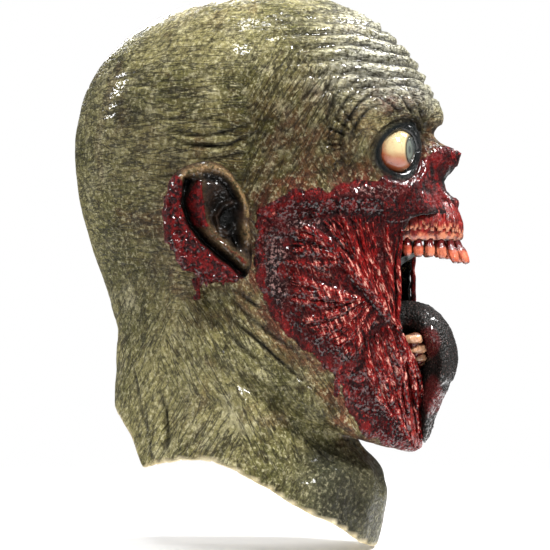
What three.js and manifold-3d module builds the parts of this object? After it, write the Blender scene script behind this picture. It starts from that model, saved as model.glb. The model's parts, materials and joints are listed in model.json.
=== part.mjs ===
// A full-head latex zombie mask, in millimetres. +Z is up and the face looks along -Y.
// The origin is the inside of the crown, where the mask rests on the top of the wearer's head.
//
// The mask is a slip-cast latex hood with separate castings glued to it: two ears, two patches of
// cheek muscle, two gums with single teeth set in them, a tongue, and a lining behind the lips that
// ends in a see-through screen. Each eye is a ball with an iris disc and a clear cornea, held from
// behind by a latex cup.
import * as THREE from "three";
import { mergeVertices } from "three/addons/utils/BufferGeometryUtils.js";
import Module from "manifold-3d";

const wasm = await Module();
wasm.setup();

// ---------------------------------------------------------------- driving dimensions

// Overall sizes: across the widest part, from the brow to the back, and from the crown to the chin.
const HEAD = { width: 168, length: 236.5, height: 294 };
// The overall sizes at which the places below are drawn. Places follow HEAD; walls, eyes, gums and
// gaps keep their own sizes.
const DRAWN = { width: 168, length: 236.5, height: 294 };
const WALL = 2.4; // latex wall of the hood
const GAP = 0.4; // clearance between glued pieces
const GLUE_LINE = GAP + 0.1; // clearance between two curved faceted skins

// The hood's sections from the skirt to the crown. front and back are the foremost and rearmost
// points as [forward, height]; side is the widest point as [half width, forward, height]; round is
// the section's squareness in front and behind, where 2 is an ellipse.
const SECTIONS = [
  { name: "skirt", front: [66, -385], side: [78, -8, -350], back: [-92, -335], round: [2, 2] },
  { name: "bib", front: [79, -338], side: [72, -12, -312], back: [-97, -300], round: [2, 2] },
  { name: "collar", front: [80, -312], side: [65, -16, -288], back: [-98, -276], round: [2, 2] },
  { name: "throat", front: [60, -282], side: [61, -20, -264], back: [-98, -254], round: [2, 2] },
  { name: "under_jaw", front: [86, -290], side: [60, -16, -250], back: [-97, -242], round: [2, 2] },
  { name: "chin", front: [102.5, -291], side: [60, -10, -238], back: [-97, -232], round: [2, 2] },
  { name: "chin_front", front: [103.5, -272], side: [60, -4, -224], back: [-97, -222], round: [2.1, 2] },
  { name: "lower_gum", front: [107, -243], side: [61, 2, -208], back: [-98, -211], round: [2.2, 2] },
  { name: "mouth", front: [118, -200], side: [64, 6, -184], back: [-102, -194], round: [2, 2] },
  { name: "upper_gum", front: [125, -158], side: [68, 4, -162], back: [-109, -175], round: [1.75, 2] },
  { name: "sill", front: [122, -136], side: [74, 0, -140], back: [-116, -154], round: [1.8, 2] },
  { name: "cheekbone", front: [115, -116], side: [78, -5, -120], back: [-122, -132], round: [1.9, 2] },
  { name: "eyes", front: [109.5, -93], side: [81, -8, -99], back: [-124.5, -108], round: [2.1, 2] },
  { name: "brow", front: [112, -73], side: [83.5, -10, -79], back: [-124, -84], round: [2.2, 2] },
  { name: "forehead", front: [104.5, -52], side: [84, -12, -58], back: [-117, -60], round: [2.1, 2] },
  { name: "hairline", front: [91, -31], side: [78.5, -13, -35], back: [-103, -38], round: [2, 2] },
  { name: "upper_skull", front: [69, -12.5], side: [63, -12, -15], back: [-79, -17], round: [2, 2] },
  { name: "crown", front: [42, 0.3], side: [40, -6, -2], back: [-46, -4], round: [2, 2] },
  { name: "top", front: [14, 2.9], side: [0.4, 13.6, 2.9], back: [13.2, 2.9], round: [2, 2] },
];
const HOOD_ROWS = 38; // rings of the outer skin, from the skirt to the crown
const HOOD_COLUMNS = 36; // points round each ring
const INNER_ROWS = 32;
const INNER_COLUMNS = 30;
const LAST_LEVEL = 0.992; // the last ring, just short of the pole

// The cut edge of the neck from the nape to the bib, as [forward, height] in side view.
const HEM_NAPE = [
  [-112, -244],
  [-100, -261],
  [-88, -271],
  [-78, -282],
  [-72, -294],
];
const HEM_CORNER = [-68, -301]; // the point behind each shoulder
const HEM_BLOCK = { rear: -200, front: 200, bottom: -600 }; // how far the cut's block reaches
const HEM_SIDE = [
  [-52, -296],
  [-20, -295],
  [4, -305],
  [30, -321],
  [54, -334],
  [68, -346],
  [76, -357],
];

// The mouth opening in side view: its corner is a curve that joins the two gum lines.
const MOUTH = {
  upperFront: [150, -138],
  upperCorner: [103, -142],
  cornerTop: [96, -152],
  cornerMiddle: [92, -185],
  cornerBottom: [94, -203],
  lowerGum: [105, -241],
  lowerFront: [150, -243],
};

// Nose stump: outline in side view, width, and the air passage through it.
const NOSE = {
  outline: [
    [96, -84],
    [111, -91],
    [122, -93],
    [130, -97.5],
    [127, -107],
    [121, -114],
    [120, -124],
    [112, -130],
    [96, -128],
  ],
  width: 30,
  bevel: 5,
  passage: { radius: 6.5, length: 60, rear: 89.5, height: -113, squash: 0.8 },
};

const EYE = {
  side: 34, // from the middle plane to the ball's centre
  forward: 89.5,
  height: -99,
  radius: 16,
  turnOut: 12, // degrees that each eye looks to its own side
  backCut: 5, // depth of the flat cut off the back
  seatDepth: 3.4, // depth of the seat for the iris and the cornea
  iris: { radius: 7.4, depth: 1.2 },
  cornea: { radius: 9.6, edge: 8.2, rise: 2.6 },
  cup: { wall: 1.6, reach: 84 }, // the reach is degrees round from the back
};

const EAR = {
  forward: -20,
  height: -146,
  side: 80, // from the middle plane to the middle of the ear
  length: 76,
  width: 58,
  depth: 26,
  flare: 20, // degrees that the rear edge stands off the head
  tilt: 10, // degrees that the top leans back
  bowl: { length: 56, width: 38, depth: 30, shift: [4, -2, 14] }, // shift is forward, up, out
};

const MUSCLE = {
  thickness: 3.2,
  turn: [33, 78], // degrees round from the front
  low: ["chin", "mouth"], // sections of the lower edge, at its front and rear ends
  high: ["cheekbone", "sill"],
  rows: 11,
  columns: 9,
};

const GUM = { thickness: 8, section: 8 };
const UPPER_ARCH = {
  front: 127, // forward
  halfWidth: 28,
  depth: 38, // from the front to the arms' ends
  sweep: 84, // degrees from the middle to each arm
  top: -142.4,
  height: 15,
  steps: 16,
  filled: 0.97, // share of each half that holds teeth
};
const LOWER_ARCH = {
  ends: [84.5, -205], // forward and height where the arch's two arms end
  front: [96.5, -238.5], // forward and height of its middle
  halfWidth: 23.5,
  sweep: 80, // degrees from the middle to each arm
  height: 10,
  steps: 16,
  filled: 0.75,
};

const TOOTH = { depth: 6, root: 4.5, sunk: 0.5, sides: 8 };
// The teeth from the middle of the arch outwards. The widths are in proportion to each other, and the
// row is as long as its share of the arch.
const UPPER_TEETH = [
  { width: 8.4, length: 16, lean: 26 },
  { width: 7.6, length: 15, lean: 20 },
  { width: 7.4, length: 12, lean: 12 },
  { width: 7, length: 10.5, lean: 6 },
  { width: 7, length: 10.5, lean: 2 },
  { width: 6.6, length: 10, lean: 0 },
];
const LOWER_TEETH = [
  { width: 6, length: 7.5 },
  { width: 6.2, length: 8 },
  { width: 6.8, length: 10 },
  { width: 7, length: 10.5 },
];
const TOOTH_SPACE = 0.7; // between neighbouring crowns

// The tongue from its root to its tip: centre as [forward, height], half width and half thickness.
const TONGUE = [
  { at: [88, -207], half: [19, 11] },
  { at: [97, -206], half: [20, 11.5] },
  { at: [106, -208], half: [22, 10] },
  { at: [114.5, -217], half: [25, 8] },
  { at: [119.5, -229], half: [26.5, 6] },
  { at: [120, -240], half: [26.5, 5.5] },
  { at: [117, -250], half: [25.5, 4.8] },
  { at: [112.5, -259], half: [23, 4] },
  { at: [109.5, -270], half: [18, 3.2] },
  { at: [107.5, -280], half: [12, 2.6] },
  { at: [106, -287], half: [8, 2.2] },
];
const TONGUE_TIP = 4.8; // length of the rounded tip
const TONGUE_STEPS = 18;
const TONGUE_SIDES = 14;

const LINING = {
  wall: 1.2,
  front: { top: 106, sides: 80, halfWidth: 29, middle: -195, halfHeight: 33 },
  back: { forward: 72.5, halfWidth: 25, middle: -196, halfHeight: 27 },
  steps: 4,
  points: 24,
};
const SCREEN = { thickness: 1, bulge: 3, rings: 3 };

// ---------------------------------------------------------------- shared helpers

const degrees = THREE.MathUtils.degToRad;

/** A direction or a length from its side, forward and height parts. */
const along = (side, forward, height) => new THREE.Vector3(side, -forward, height);

/** A place from its side, forward and height coordinates at the drawn size. */
const at = (side, forward, height) =>
  along(
    (side * HEAD.width) / DRAWN.width,
    (forward * HEAD.length) / DRAWN.length,
    (height * HEAD.height) / DRAWN.height,
  );

/** A geometry from points and triangles. */
function geometryOf(points, triangles) {
  const geometry = new THREE.BufferGeometry().setFromPoints(points);
  geometry.setIndex(triangles);
  return geometry;
}

/** A closed body through rings of equal length, with a fan over each end ring. */
function ringSolid(rings) {
  const count = rings[0].length;
  const points = rings.flat();
  const triangles = [];
  for (let row = 0; row + 1 < rings.length; row++) {
    for (let i = 0; i < count; i++) {
      const a = row * count + i;
      const b = row * count + ((i + 1) % count);
      triangles.push(a, b, b + count, a, b + count, a + count);
    }
  }
  [0, rings.length - 1].forEach((row) => {
    const centre = new THREE.Vector3();
    rings[row].forEach((p) => centre.addScaledVector(p, 1 / count));
    points.push(centre);
    for (let i = 0; i < count; i++) {
      const a = row * count + i;
      const b = row * count + ((i + 1) % count);
      triangles.push(...(row ? [a, b, points.length - 1] : [b, a, points.length - 1]));
    }
  });
  return geometryOf(points, triangles);
}

/** A closed slab between two grids of equal size, outer facing out. */
function slabSolid(outer, inner) {
  const rows = outer.length;
  const columns = outer[0].length;
  const points = [...outer.flat(), ...inner.flat()];
  const shift = rows * columns;
  const id = (row, column, layer) => row * columns + column + layer * shift;
  const triangles = [];
  const quad = (a, b, c, d) => triangles.push(a, b, c, a, c, d);
  for (let r = 0; r + 1 < rows; r++) {
    for (let c = 0; c + 1 < columns; c++) {
      quad(id(r, c, 0), id(r, c + 1, 0), id(r + 1, c + 1, 0), id(r + 1, c, 0));
      quad(id(r, c, 1), id(r + 1, c, 1), id(r + 1, c + 1, 1), id(r, c + 1, 1));
    }
    quad(id(r, 0, 0), id(r + 1, 0, 0), id(r + 1, 0, 1), id(r, 0, 1));
    quad(id(r, columns - 1, 1), id(r + 1, columns - 1, 1), id(r + 1, columns - 1, 0), id(r, columns - 1, 0));
  }
  for (let c = 0; c + 1 < columns; c++) {
    quad(id(0, c, 1), id(0, c + 1, 1), id(0, c + 1, 0), id(0, c, 0));
    quad(id(rows - 1, c, 0), id(rows - 1, c + 1, 0), id(rows - 1, c + 1, 1), id(rows - 1, c, 1));
  }
  return geometryOf(points, triangles);
}

/** A manifold solid from a closed three.js geometry. */
function solidOf(geometry) {
  const bare = geometry.clone();
  bare.deleteAttribute("normal");
  bare.deleteAttribute("uv");
  const merged = mergeVertices(bare, 1e-4);
  return new wasm.Manifold(
    new wasm.Mesh({
      numProp: 3,
      vertProperties: new Float32Array(merged.attributes.position.array),
      triVerts: new Uint32Array(merged.index.array),
    }),
  );
}

/** The largest separate body of a solid. */
const largest = (solid) => solid.decompose().sort((a, b) => b.volume() - a.volume())[0];

/** A three.js geometry from a manifold solid. */
function geometryFrom(solid) {
  const mesh = solid.getMesh();
  const geometry = new THREE.BufferGeometry();
  geometry.setAttribute("position", new THREE.BufferAttribute(mesh.vertProperties.slice(), 3));
  geometry.setIndex(new THREE.BufferAttribute(mesh.triVerts.slice(), 1));
  return geometry;
}

/** Turns a drawing into the side view: its X becomes forward and its Y becomes up. */
const sideView = new THREE.Matrix4().makeBasis(along(0, 1, 0), along(0, 0, 1), along(-1, 0, 0));

/** A slab with the given outline in side view, as wide as asked and centred on the middle plane. */
function sideSlab(outline, width, bevel = 0) {
  const geometry = new THREE.ExtrudeGeometry(outline, {
    depth: width - 2 * bevel,
    bevelEnabled: bevel > 0,
    bevelSize: bevel,
    bevelThickness: bevel,
    bevelOffset: -bevel,
    bevelSegments: 2,
    curveSegments: 6,
  });
  geometry.translate(0, 0, -width / 2 + bevel);
  return solidOf(geometry.applyMatrix4(sideView));
}

/** A ball at a place, with a radius along each axis. */
function ball(place, radii, around = 24, down = 16) {
  const geometry = new THREE.SphereGeometry(1, around, down);
  geometry.scale(radii.x, radii.y, radii.z);
  geometry.translate(place.x, place.y, place.z);
  return solidOf(geometry);
}

const vector2 = ([x, y]) => new THREE.Vector2(x, y);

/** A place in side view from its forward and height coordinates at the drawn size. */
const inSideView = ([forward, height]) =>
  new THREE.Vector2((forward * HEAD.length) / DRAWN.length, (height * HEAD.height) / DRAWN.height);

// ---------------------------------------------------------------- the hood's surface

const splineOf = (points) => new THREE.CatmullRomCurve3(points, false, "catmullrom", 0.5);
const frontSpline = splineOf(SECTIONS.map((s) => at(0, ...s.front)));
const sideSpline = splineOf(SECTIONS.map((s) => at(...s.side)));
const backSpline = splineOf(SECTIONS.map((s) => at(0, ...s.back)));
const roundSpline = splineOf(SECTIONS.map((s) => new THREE.Vector3(...s.round, 0)));

/** The level from 0 to 1 of a named section. */
function levelOf(name) {
  return SECTIONS.findIndex((s) => s.name === name) / (SECTIONS.length - 1);
}

/** A point of the hood's outer skin. turn is in radians from the front towards +X. */
function skinPoint(turn, level) {
  const end = (Math.cos(turn) > 0 ? frontSpline : backSpline).getPoint(level);
  const side = sideSpline.getPoint(level);
  const round = roundSpline.getPoint(level);
  const power = 2 / (Math.cos(turn) > 0 ? round.x : round.y);
  const along = Math.abs(Math.cos(turn)) ** power;
  const across = Math.abs(Math.sin(turn)) ** power * Math.sign(Math.sin(turn));
  return new THREE.Vector3(
    side.x * across,
    side.y + (end.y - side.y) * along,
    side.z + (end.z - side.z) * along,
  );
}

/** The outward normal of the hood's outer skin. */
function skinNormal(turn, level) {
  const step = 0.004;
  const low = Math.max(level - step, 0);
  const high = Math.min(level + step, LAST_LEVEL);
  const round = skinPoint(turn + 0.02, level).sub(skinPoint(turn - 0.02, level));
  const up = skinPoint(turn, high).sub(skinPoint(turn, low));
  return round.cross(up).normalize();
}

/** A point a given depth under the outer skin. */
function underSkin(turn, level, depth) {
  return skinPoint(turn, level).addScaledVector(skinNormal(turn, level), -depth);
}

/** The whole head form a given depth under the outer skin, as one solid. */
function headForm(depth, rows, columns) {
  const rings = [];
  for (let row = 0; row <= rows; row++) {
    const level = (row / rows) * LAST_LEVEL;
    rings.push(
      Array.from({ length: columns }, (_, i) => underSkin((i / columns) * 2 * Math.PI, level, depth)),
    );
  }
  return solidOf(ringSolid(rings));
}

const outerForm = headForm(0, HOOD_ROWS, HOOD_COLUMNS);
const innerForm = headForm(WALL, INNER_ROWS, INNER_COLUMNS);
const glueForm = headForm(-GLUE_LINE, HOOD_ROWS, HOOD_COLUMNS);

// ---------------------------------------------------------------- hood

/** Everything below the cut edge of the neck. */
function belowHem() {
  const nape = HEM_NAPE.map(inSideView);
  const sides = HEM_SIDE.map(inSideView);
  const { rear, front, bottom } = HEM_BLOCK;
  const outline = new THREE.Shape();
  outline.moveTo(rear, bottom);
  outline.lineTo(rear, nape[0].y);
  outline.lineTo(nape[0].x, nape[0].y);
  outline.splineThru([...nape.slice(1), inSideView(HEM_CORNER)]);
  outline.splineThru(sides);
  outline.lineTo(front, sides.at(-1).y);
  outline.lineTo(front, bottom);
  return sideSlab(outline, 2 * HEAD.width);
}

/** The space in front of the mouth's edge. */
function mouthSpace() {
  const outline = new THREE.Shape();
  outline.setFromPoints([MOUTH.upperFront, MOUTH.upperCorner].map(inSideView));
  outline.splineThru([MOUTH.cornerTop, MOUTH.cornerMiddle, MOUTH.cornerBottom].map(inSideView));
  for (const place of [MOUTH.lowerGum, MOUTH.lowerFront]) {
    const { x, y } = inSideView(place);
    outline.lineTo(x, y);
  }
  return sideSlab(outline, 2 * HEAD.width);
}

/** The centre of an eyeball. */
const eyePlace = (sign) => at(sign * EYE.side, EYE.forward, EYE.height);

/** The slip-cast hood: skull, face, neck and bib in one skin. */
function hoodSkin() {
  const nose = sideSlab(new THREE.Shape(NOSE.outline.map(inSideView)), NOSE.width, NOSE.bevel);
  const { radius, length, rear, height, squash } = NOSE.passage;
  const passage = new THREE.CylinderGeometry(radius, radius, length, 20);
  passage.scale(1, 1, squash);
  const middle = at(0, rear, height).add(along(0, length / 2, 0));
  passage.translate(middle.x, middle.y, middle.z);
  let skin = outerForm.add(nose).subtract(innerForm).subtract(solidOf(passage));
  skin = skin.subtract(mouthSpace()).subtract(belowHem());
  const hole = EYE.radius + GAP;
  for (const sign of [-1, 1]) {
    skin = skin.subtract(ball(eyePlace(sign), new THREE.Vector3(hole, hole, hole), 22, 14));
  }
  return geometryFrom(largest(skin));
}

// ---------------------------------------------------------------- eyes

/** The placement of an eye: its own Z axis is the line of sight. */
function eyeMatrix(sign) {
  const sight = along(sign * Math.sin(degrees(EYE.turnOut)), Math.cos(degrees(EYE.turnOut)), 0);
  const turn = new THREE.Quaternion().setFromUnitVectors(new THREE.Vector3(0, 0, 1), sight);
  return new THREE.Matrix4().compose(eyePlace(sign), turn, new THREE.Vector3(1, 1, 1));
}

/** A body turned about its own Z axis from [radius, height] points that start and end on the axis. */
const turned = (profile, sides) =>
  new THREE.LatheGeometry(profile.map(vector2), sides).rotateX(Math.PI / 2);

/** Points of an arc about a centre on the axis, from one angle to another, measured from the axis. */
function arc(radius, centre, from, to, steps) {
  return Array.from({ length: steps + 1 }, (_, i) => {
    const angle = degrees(from + ((to - from) * i) / steps);
    return [Math.max(radius * Math.sin(angle), 0), centre + radius * Math.cos(angle)];
  });
}

const eyeSeat = EYE.radius - EYE.seatDepth; // from the ball's centre to the seat

const angleOf = (cosine) => THREE.MathUtils.radToDeg(Math.acos(cosine));

/** The eyeball, with a flat back and a seat for the iris and the cornea. */
function eyeballGeometry() {
  const seatRadius = EYE.cornea.edge + GAP;
  const rim = angleOf(Math.sqrt(1 - (seatRadius / EYE.radius) ** 2));
  const flat = EYE.backCut - EYE.radius;
  return turned(
    [
      [0, flat],
      ...arc(EYE.radius, 0, angleOf(flat / EYE.radius), rim, 8),
      [seatRadius, eyeSeat],
      [0, eyeSeat],
    ],
    22,
  );
}

/** The painted iris disc, which lies in the seat. */
function irisGeometry() {
  const { radius, depth } = EYE.iris;
  const low = eyeSeat + GAP;
  return turned([[0, low], [radius, low], [radius, low + depth], [0, low + depth]], 20);
}

/** The clear cornea, a thin lens over the iris. */
function corneaGeometry() {
  const { radius, edge, rise } = EYE.cornea;
  const low = eyeSeat + GAP + EYE.iris.depth + GAP;
  const half = angleOf(Math.sqrt(1 - (edge / radius) ** 2));
  const centre = low + rise - radius;
  const rim = arc(radius, centre, half, 0, 4);
  return turned([[0, low], [edge, low], ...rim.filter(([, z]) => z > low + 0.05)], 20);
}

/** The latex cup that holds the ball from behind. */
function eyeCup(sign) {
  const { wall, reach } = EYE.cup;
  const inner = EYE.radius + GAP;
  const profile = [
    ...arc(inner + wall, 0, 180 - reach, 180, 6).reverse(),
    ...arc(inner, 0, 180 - reach, 180, 6),
  ];
  const cup = solidOf(turned(profile.reverse(), 20)).transform(eyeMatrix(sign).elements);
  return geometryFrom(largest(cup.intersect(headForm(WALL + GAP, INNER_ROWS, INNER_COLUMNS))));
}

// ---------------------------------------------------------------- ears and cheeks

/** An ear: a thick-rimmed bowl glued to the side of the hood. */
function ear(sign) {
  const { bowl } = EAR;
  const radii = new THREE.Vector3(EAR.width, EAR.length, EAR.depth).divideScalar(2);
  const body = ball(new THREE.Vector3(), radii, 26, 16);
  const hollow = ball(
    new THREE.Vector3(...bowl.shift),
    new THREE.Vector3(bowl.width, bowl.length, bowl.depth).divideScalar(2),
    22,
    14,
  );
  // The ear's own X points forward, its Y up and its Z away from the head.
  const place = new THREE.Matrix4()
    .copy(sideView)
    .multiply(new THREE.Matrix4().makeRotationY(degrees(EAR.flare)))
    .multiply(new THREE.Matrix4().makeRotationZ(degrees(EAR.tilt)))
    .setPosition(at(-EAR.side, EAR.forward, EAR.height));
  const right = largest(body.subtract(hollow).transform(place.elements).subtract(glueForm));
  return geometryFrom(sign < 0 ? right : right.mirror([1, 0, 0]));
}

/** The built-up muscle on one cheek: a patch that follows the skin. */
function cheekMuscle(sign) {
  const [frontLow, rearLow] = MUSCLE.low.map(levelOf);
  const [frontHigh, rearHigh] = MUSCLE.high.map(levelOf);
  const layer = (depth) =>
    Array.from({ length: MUSCLE.rows }, (_, r) =>
      Array.from({ length: MUSCLE.columns }, (_, c) => {
        const across = c / (MUSCLE.columns - 1);
        const up = r / (MUSCLE.rows - 1);
        const [near, far] = MUSCLE.turn;
        const turn = near + (far - near) * across;
        const low = frontLow + (rearLow - frontLow) * across;
        const high = frontHigh + (rearHigh - frontHigh) * across;
        const level = low + (high - low) * up;
        return underSkin(degrees(sign * turn), level, -depth);
      }),
    );
  const outer = layer(GLUE_LINE + MUSCLE.thickness);
  const inner = layer(GLUE_LINE);
  const slab = sign > 0 ? slabSolid(outer, inner) : slabSolid(inner, outer);
  return geometryFrom(largest(solidOf(slab).subtract(mouthSpace())));
}

// ---------------------------------------------------------------- gums and teeth

/** The upper arch: its place and the directions away from the mouth's middle and out of the gum. */
function upperArch(share) {
  const { front, halfWidth, depth, sweep, top, height } = UPPER_ARCH;
  const angle = degrees(share * sweep);
  const place = at(halfWidth * Math.sin(angle), front - depth * (1 - Math.cos(angle)), top);
  place.z -= height / 2;
  const outward = along(depth * Math.sin(angle), halfWidth * Math.cos(angle), 0).normalize();
  return { place, outward, crown: along(0, 0, -1) };
}

/** The lower arch, which lies in a steep plane because the jaw hangs open. */
function lowerArch(share) {
  const angle = degrees(share * LOWER_ARCH.sweep);
  const [endForward, endHeight] = LOWER_ARCH.ends;
  const [frontForward, frontHeight] = LOWER_ARCH.front;
  const down = at(0, frontForward - endForward, frontHeight - endHeight);
  const place = at(LOWER_ARCH.halfWidth * Math.sin(angle), endForward, endHeight);
  place.addScaledVector(down, Math.cos(angle));
  const slope = down.clone().normalize();
  const outward = new THREE.Vector3(Math.sin(angle), 0, 0).addScaledVector(slope, Math.cos(angle));
  const crown = slope.clone().cross(new THREE.Vector3(1, 0, 0)).normalize();
  return { place, outward: outward.normalize(), crown };
}

/** A gum: a rounded strip along an arch, with a socket for each tooth. */
function gum(arch, { steps, height }, sockets) {
  const rings = Array.from({ length: steps + 1 }, (_, i) => {
    const { place, outward, crown } = arch((2 * i) / steps - 1);
    return Array.from({ length: GUM.section }, (_, k) => {
      const angle = ((k + 0.5) / GUM.section) * 2 * Math.PI;
      const squircle = (v) => Math.sign(v) * Math.abs(v) ** 0.7;
      return place
        .clone()
        .addScaledVector(outward, (squircle(Math.cos(angle)) * GUM.thickness) / 2)
        .addScaledVector(crown, (squircle(Math.sin(angle)) * height) / 2);
    });
  });
  let solid = solidOf(ringSolid(rings));
  if (solid.volume() < 0) solid = solidOf(ringSolid(rings.reverse()));
  sockets.forEach((socket) => (solid = solid.subtract(socket)));
  return geometryFrom(largest(solid));
}

/** A tooth standing on the origin along +Z, its face towards +Y, with its root below. */
function toothGeometry(width, length, spare = 0) {
  const half = width / 2 + spare;
  const geometry = turned(
    [
      [0, -TOOTH.root - spare],
      [half * 0.62, -TOOTH.root - spare],
      [half * 0.78, 0],
      [half, length * 0.45],
      [half * 0.92, length * 0.8],
      [half * 0.55, length + spare],
      [0, length + spare],
    ],
    TOOTH.sides,
  );
  return geometry.scale(1, (TOOTH.depth / 2 + spare) / half, 1);
}

/** The teeth of an arch, from the middle outwards on each side. */
function toothPlaces(arch, teeth, { height, filled }) {
  const fine = 400;
  const path = Array.from({ length: fine + 1 }, (_, i) => arch(i / fine).place);
  const run = [0];
  for (let i = 1; i <= fine; i++) run.push(run[i - 1] + path[i].distanceTo(path[i - 1]));
  const shareAt = (length) => run.findIndex((r) => r >= length) / fine;
  const crowns = run.at(-1) * filled - teeth.length * TOOTH_SPACE;
  const unit = crowns / teeth.reduce((sum, tooth) => sum + tooth.width, 0);
  const places = [];
  let edge = 0;
  teeth.forEach(({ width: proportion, length, lean = 0 }, index) => {
    const width = proportion * unit;
    const middle = edge + (width + TOOTH_SPACE) / 2;
    edge += width + TOOTH_SPACE;
    for (const sign of [-1, 1]) {
      const { place, outward, crown } = arch(sign * shareAt(middle));
      const axis = crown.clone().applyAxisAngle(outward.clone().cross(crown), -degrees(lean));
      const face = outward.clone().addScaledVector(axis, -outward.dot(axis)).normalize();
      const matrix = new THREE.Matrix4().makeBasis(face.clone().cross(axis), face, axis);
      matrix.setPosition(place.clone().addScaledVector(crown, height / 2 - TOOTH.sunk));
      places.push({ matrix, width, length, name: `${sign < 0 ? "right" : "left"}_${index + 1}` });
    }
  });
  return places;
}

const upperPlaces = toothPlaces(upperArch, UPPER_TEETH, UPPER_ARCH);
const lowerPlaces = toothPlaces(lowerArch, LOWER_TEETH, LOWER_ARCH);

/** The sockets that a row of teeth needs in its gum. */
const socketsFor = (places) =>
  places.map(({ matrix, width, length }) =>
    solidOf(toothGeometry(width, length, GAP).applyMatrix4(matrix)),
  );

// ---------------------------------------------------------------- tongue, lining and screen

/** The soft tongue, which comes out over the lower teeth and hangs down over the chin. */
function tongueGeometry() {
  const path = splineOf(TONGUE.map((t) => at(0, ...t.at)));
  const sizes = splineOf(TONGUE.map((t) => new THREE.Vector3(at(t.half[0], 0, 0).x, t.half[1], 0)));
  const rings = [];
  const ring = (t, shrink, push) => {
    const centre = path.getPoint(t);
    const tangent = path.getTangent(t);
    const side = new THREE.Vector3(1, 0, 0);
    const out = side.clone().cross(tangent).normalize();
    const size = sizes.getPoint(t);
    centre.addScaledVector(tangent, push);
    return Array.from({ length: TONGUE_SIDES }, (_, i) => {
      const angle = (i / TONGUE_SIDES) * 2 * Math.PI;
      return centre
        .clone()
        .addScaledVector(side, Math.cos(angle) * size.x * shrink)
        .addScaledVector(out, Math.sin(angle) * size.y * shrink);
    });
  };
  const root = TONGUE[0].half[1];
  [80, 60, 35, 15].forEach((a) => rings.push(ring(0, Math.cos(degrees(a)), -root * Math.sin(degrees(a)))));
  for (let i = 0; i <= TONGUE_STEPS; i++) rings.push(ring(i / TONGUE_STEPS, 1, 0));
  [25, 50, 75].forEach((a) => rings.push(ring(1, Math.cos(degrees(a)), TONGUE_TIP * Math.sin(degrees(a)))));
  return ringSolid(rings);
}

/** A loop of the mouth lining. share runs from 0 at the lips to 1 at the screen. */
function liningLoop(share, grow) {
  const { front, back, points } = LINING;
  const mix = (a, b) => a + (b - a) * share;
  return Array.from({ length: points + 1 }, (_, i) => {
    const angle = (i / points) * 2 * Math.PI;
    const top = Math.max(Math.cos(angle), 0) ** 1.5;
    const halfWidth = mix(front.halfWidth, back.halfWidth);
    const halfHeight = mix(front.halfHeight, back.halfHeight);
    return at(
      halfWidth * Math.sin(angle),
      mix(front.sides + (front.top - front.sides) * top, back.forward),
      mix(front.middle, back.middle) + halfHeight * Math.cos(angle),
    ).add(along(grow * Math.sin(angle), 0, grow * Math.cos(angle)));
  });
}

/** The lining: a short sleeve from the gums to the screen. */
function liningGeometry() {
  const sleeve = (grow) =>
    Array.from({ length: LINING.steps + 1 }, (_, i) => liningLoop(i / LINING.steps, grow).slice(0, -1));
  const outer = sleeve(LINING.wall);
  const inner = sleeve(0);
  const loops = [...outer, ...inner.reverse()];
  const count = LINING.points;
  const points = loops.flat();
  const triangles = [];
  loops.forEach((_, row) => {
    const next = ((row + 1) % loops.length) * count;
    for (let i = 0; i < count; i++) {
      const a = row * count + i;
      const b = row * count + ((i + 1) % count);
      const c = next + ((i + 1) % count);
      const d = next + i;
      triangles.push(a, b, c, a, c, d);
    }
  });
  return geometryOf(points, triangles);
}

/** The see-through screen that closes the back of the lining. */
function screenGeometry() {
  const { back } = LINING;
  const rings = [];
  const ring = (share, rear) =>
    Array.from({ length: LINING.points }, (_, i) => {
      const angle = (i / LINING.points) * 2 * Math.PI;
      return at(
        (back.halfWidth + LINING.wall) * share * Math.sin(angle),
        back.forward,
        back.middle + (back.halfHeight + LINING.wall) * share * Math.cos(angle),
      ).add(along(0, -GAP - SCREEN.bulge * (1 - share * share) - rear * SCREEN.thickness, 0));
    });
  for (let i = 1; i <= SCREEN.rings; i++) rings.push(ring(i / SCREEN.rings, 1));
  for (let i = SCREEN.rings; i >= 1; i--) rings.push(ring(i / SCREEN.rings, 0));
  return ringSolid(rings);
}

// ---------------------------------------------------------------- materials and assembly

const finish = (color, roughness, extra = {}) =>
  new THREE.MeshStandardMaterial({ color, roughness, metalness: 0, ...extra });
const MATERIALS = {
  skin: finish(0x7d7a52, 0.55),
  torn: finish(0x6a1512, 0.35),
  muscle: finish(0x7a1110, 0.3),
  gum: finish(0xa83222, 0.3),
  tooth: finish(0xd9a277, 0.35),
  tongue: finish(0x2c1113, 0.3),
  lining: finish(0x101c1c, 0.35),
  screen: finish(0x0b0c0c, 0.9),
  sclera: finish(0xe6c58a, 0.15),
  iris: finish(0xc9d6c4, 0.3),
  cornea: finish(0xffffff, 0.03, { transparent: true, opacity: 0.35 }),
  cup: finish(0x1d1a18, 0.6),
};

const mask = new THREE.Group();

/** Adds a named piece, turned the right way out if its faces point inwards. */
function add(name, geometry, material, matrix) {
  const shown = solidOf(geometry).volume() < 0 ? flipped(geometry) : geometry;
  const mesh = new THREE.Mesh(shown, material);
  mesh.name = name;
  if (matrix) mesh.applyMatrix4(matrix);
  mask.add(mesh);
}

/** The same geometry with each triangle wound the other way. */
function flipped(geometry) {
  const turnedOver = geometry.index ? geometry.toNonIndexed() : geometry.clone();
  const position = turnedOver.attributes.position;
  for (let i = 0; i < position.count; i += 3) {
    const a = new THREE.Vector3().fromBufferAttribute(position, i + 1);
    const b = new THREE.Vector3().fromBufferAttribute(position, i + 2);
    position.setXYZ(i + 1, ...b.toArray());
    position.setXYZ(i + 2, ...a.toArray());
  }
  return turnedOver;
}

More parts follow.
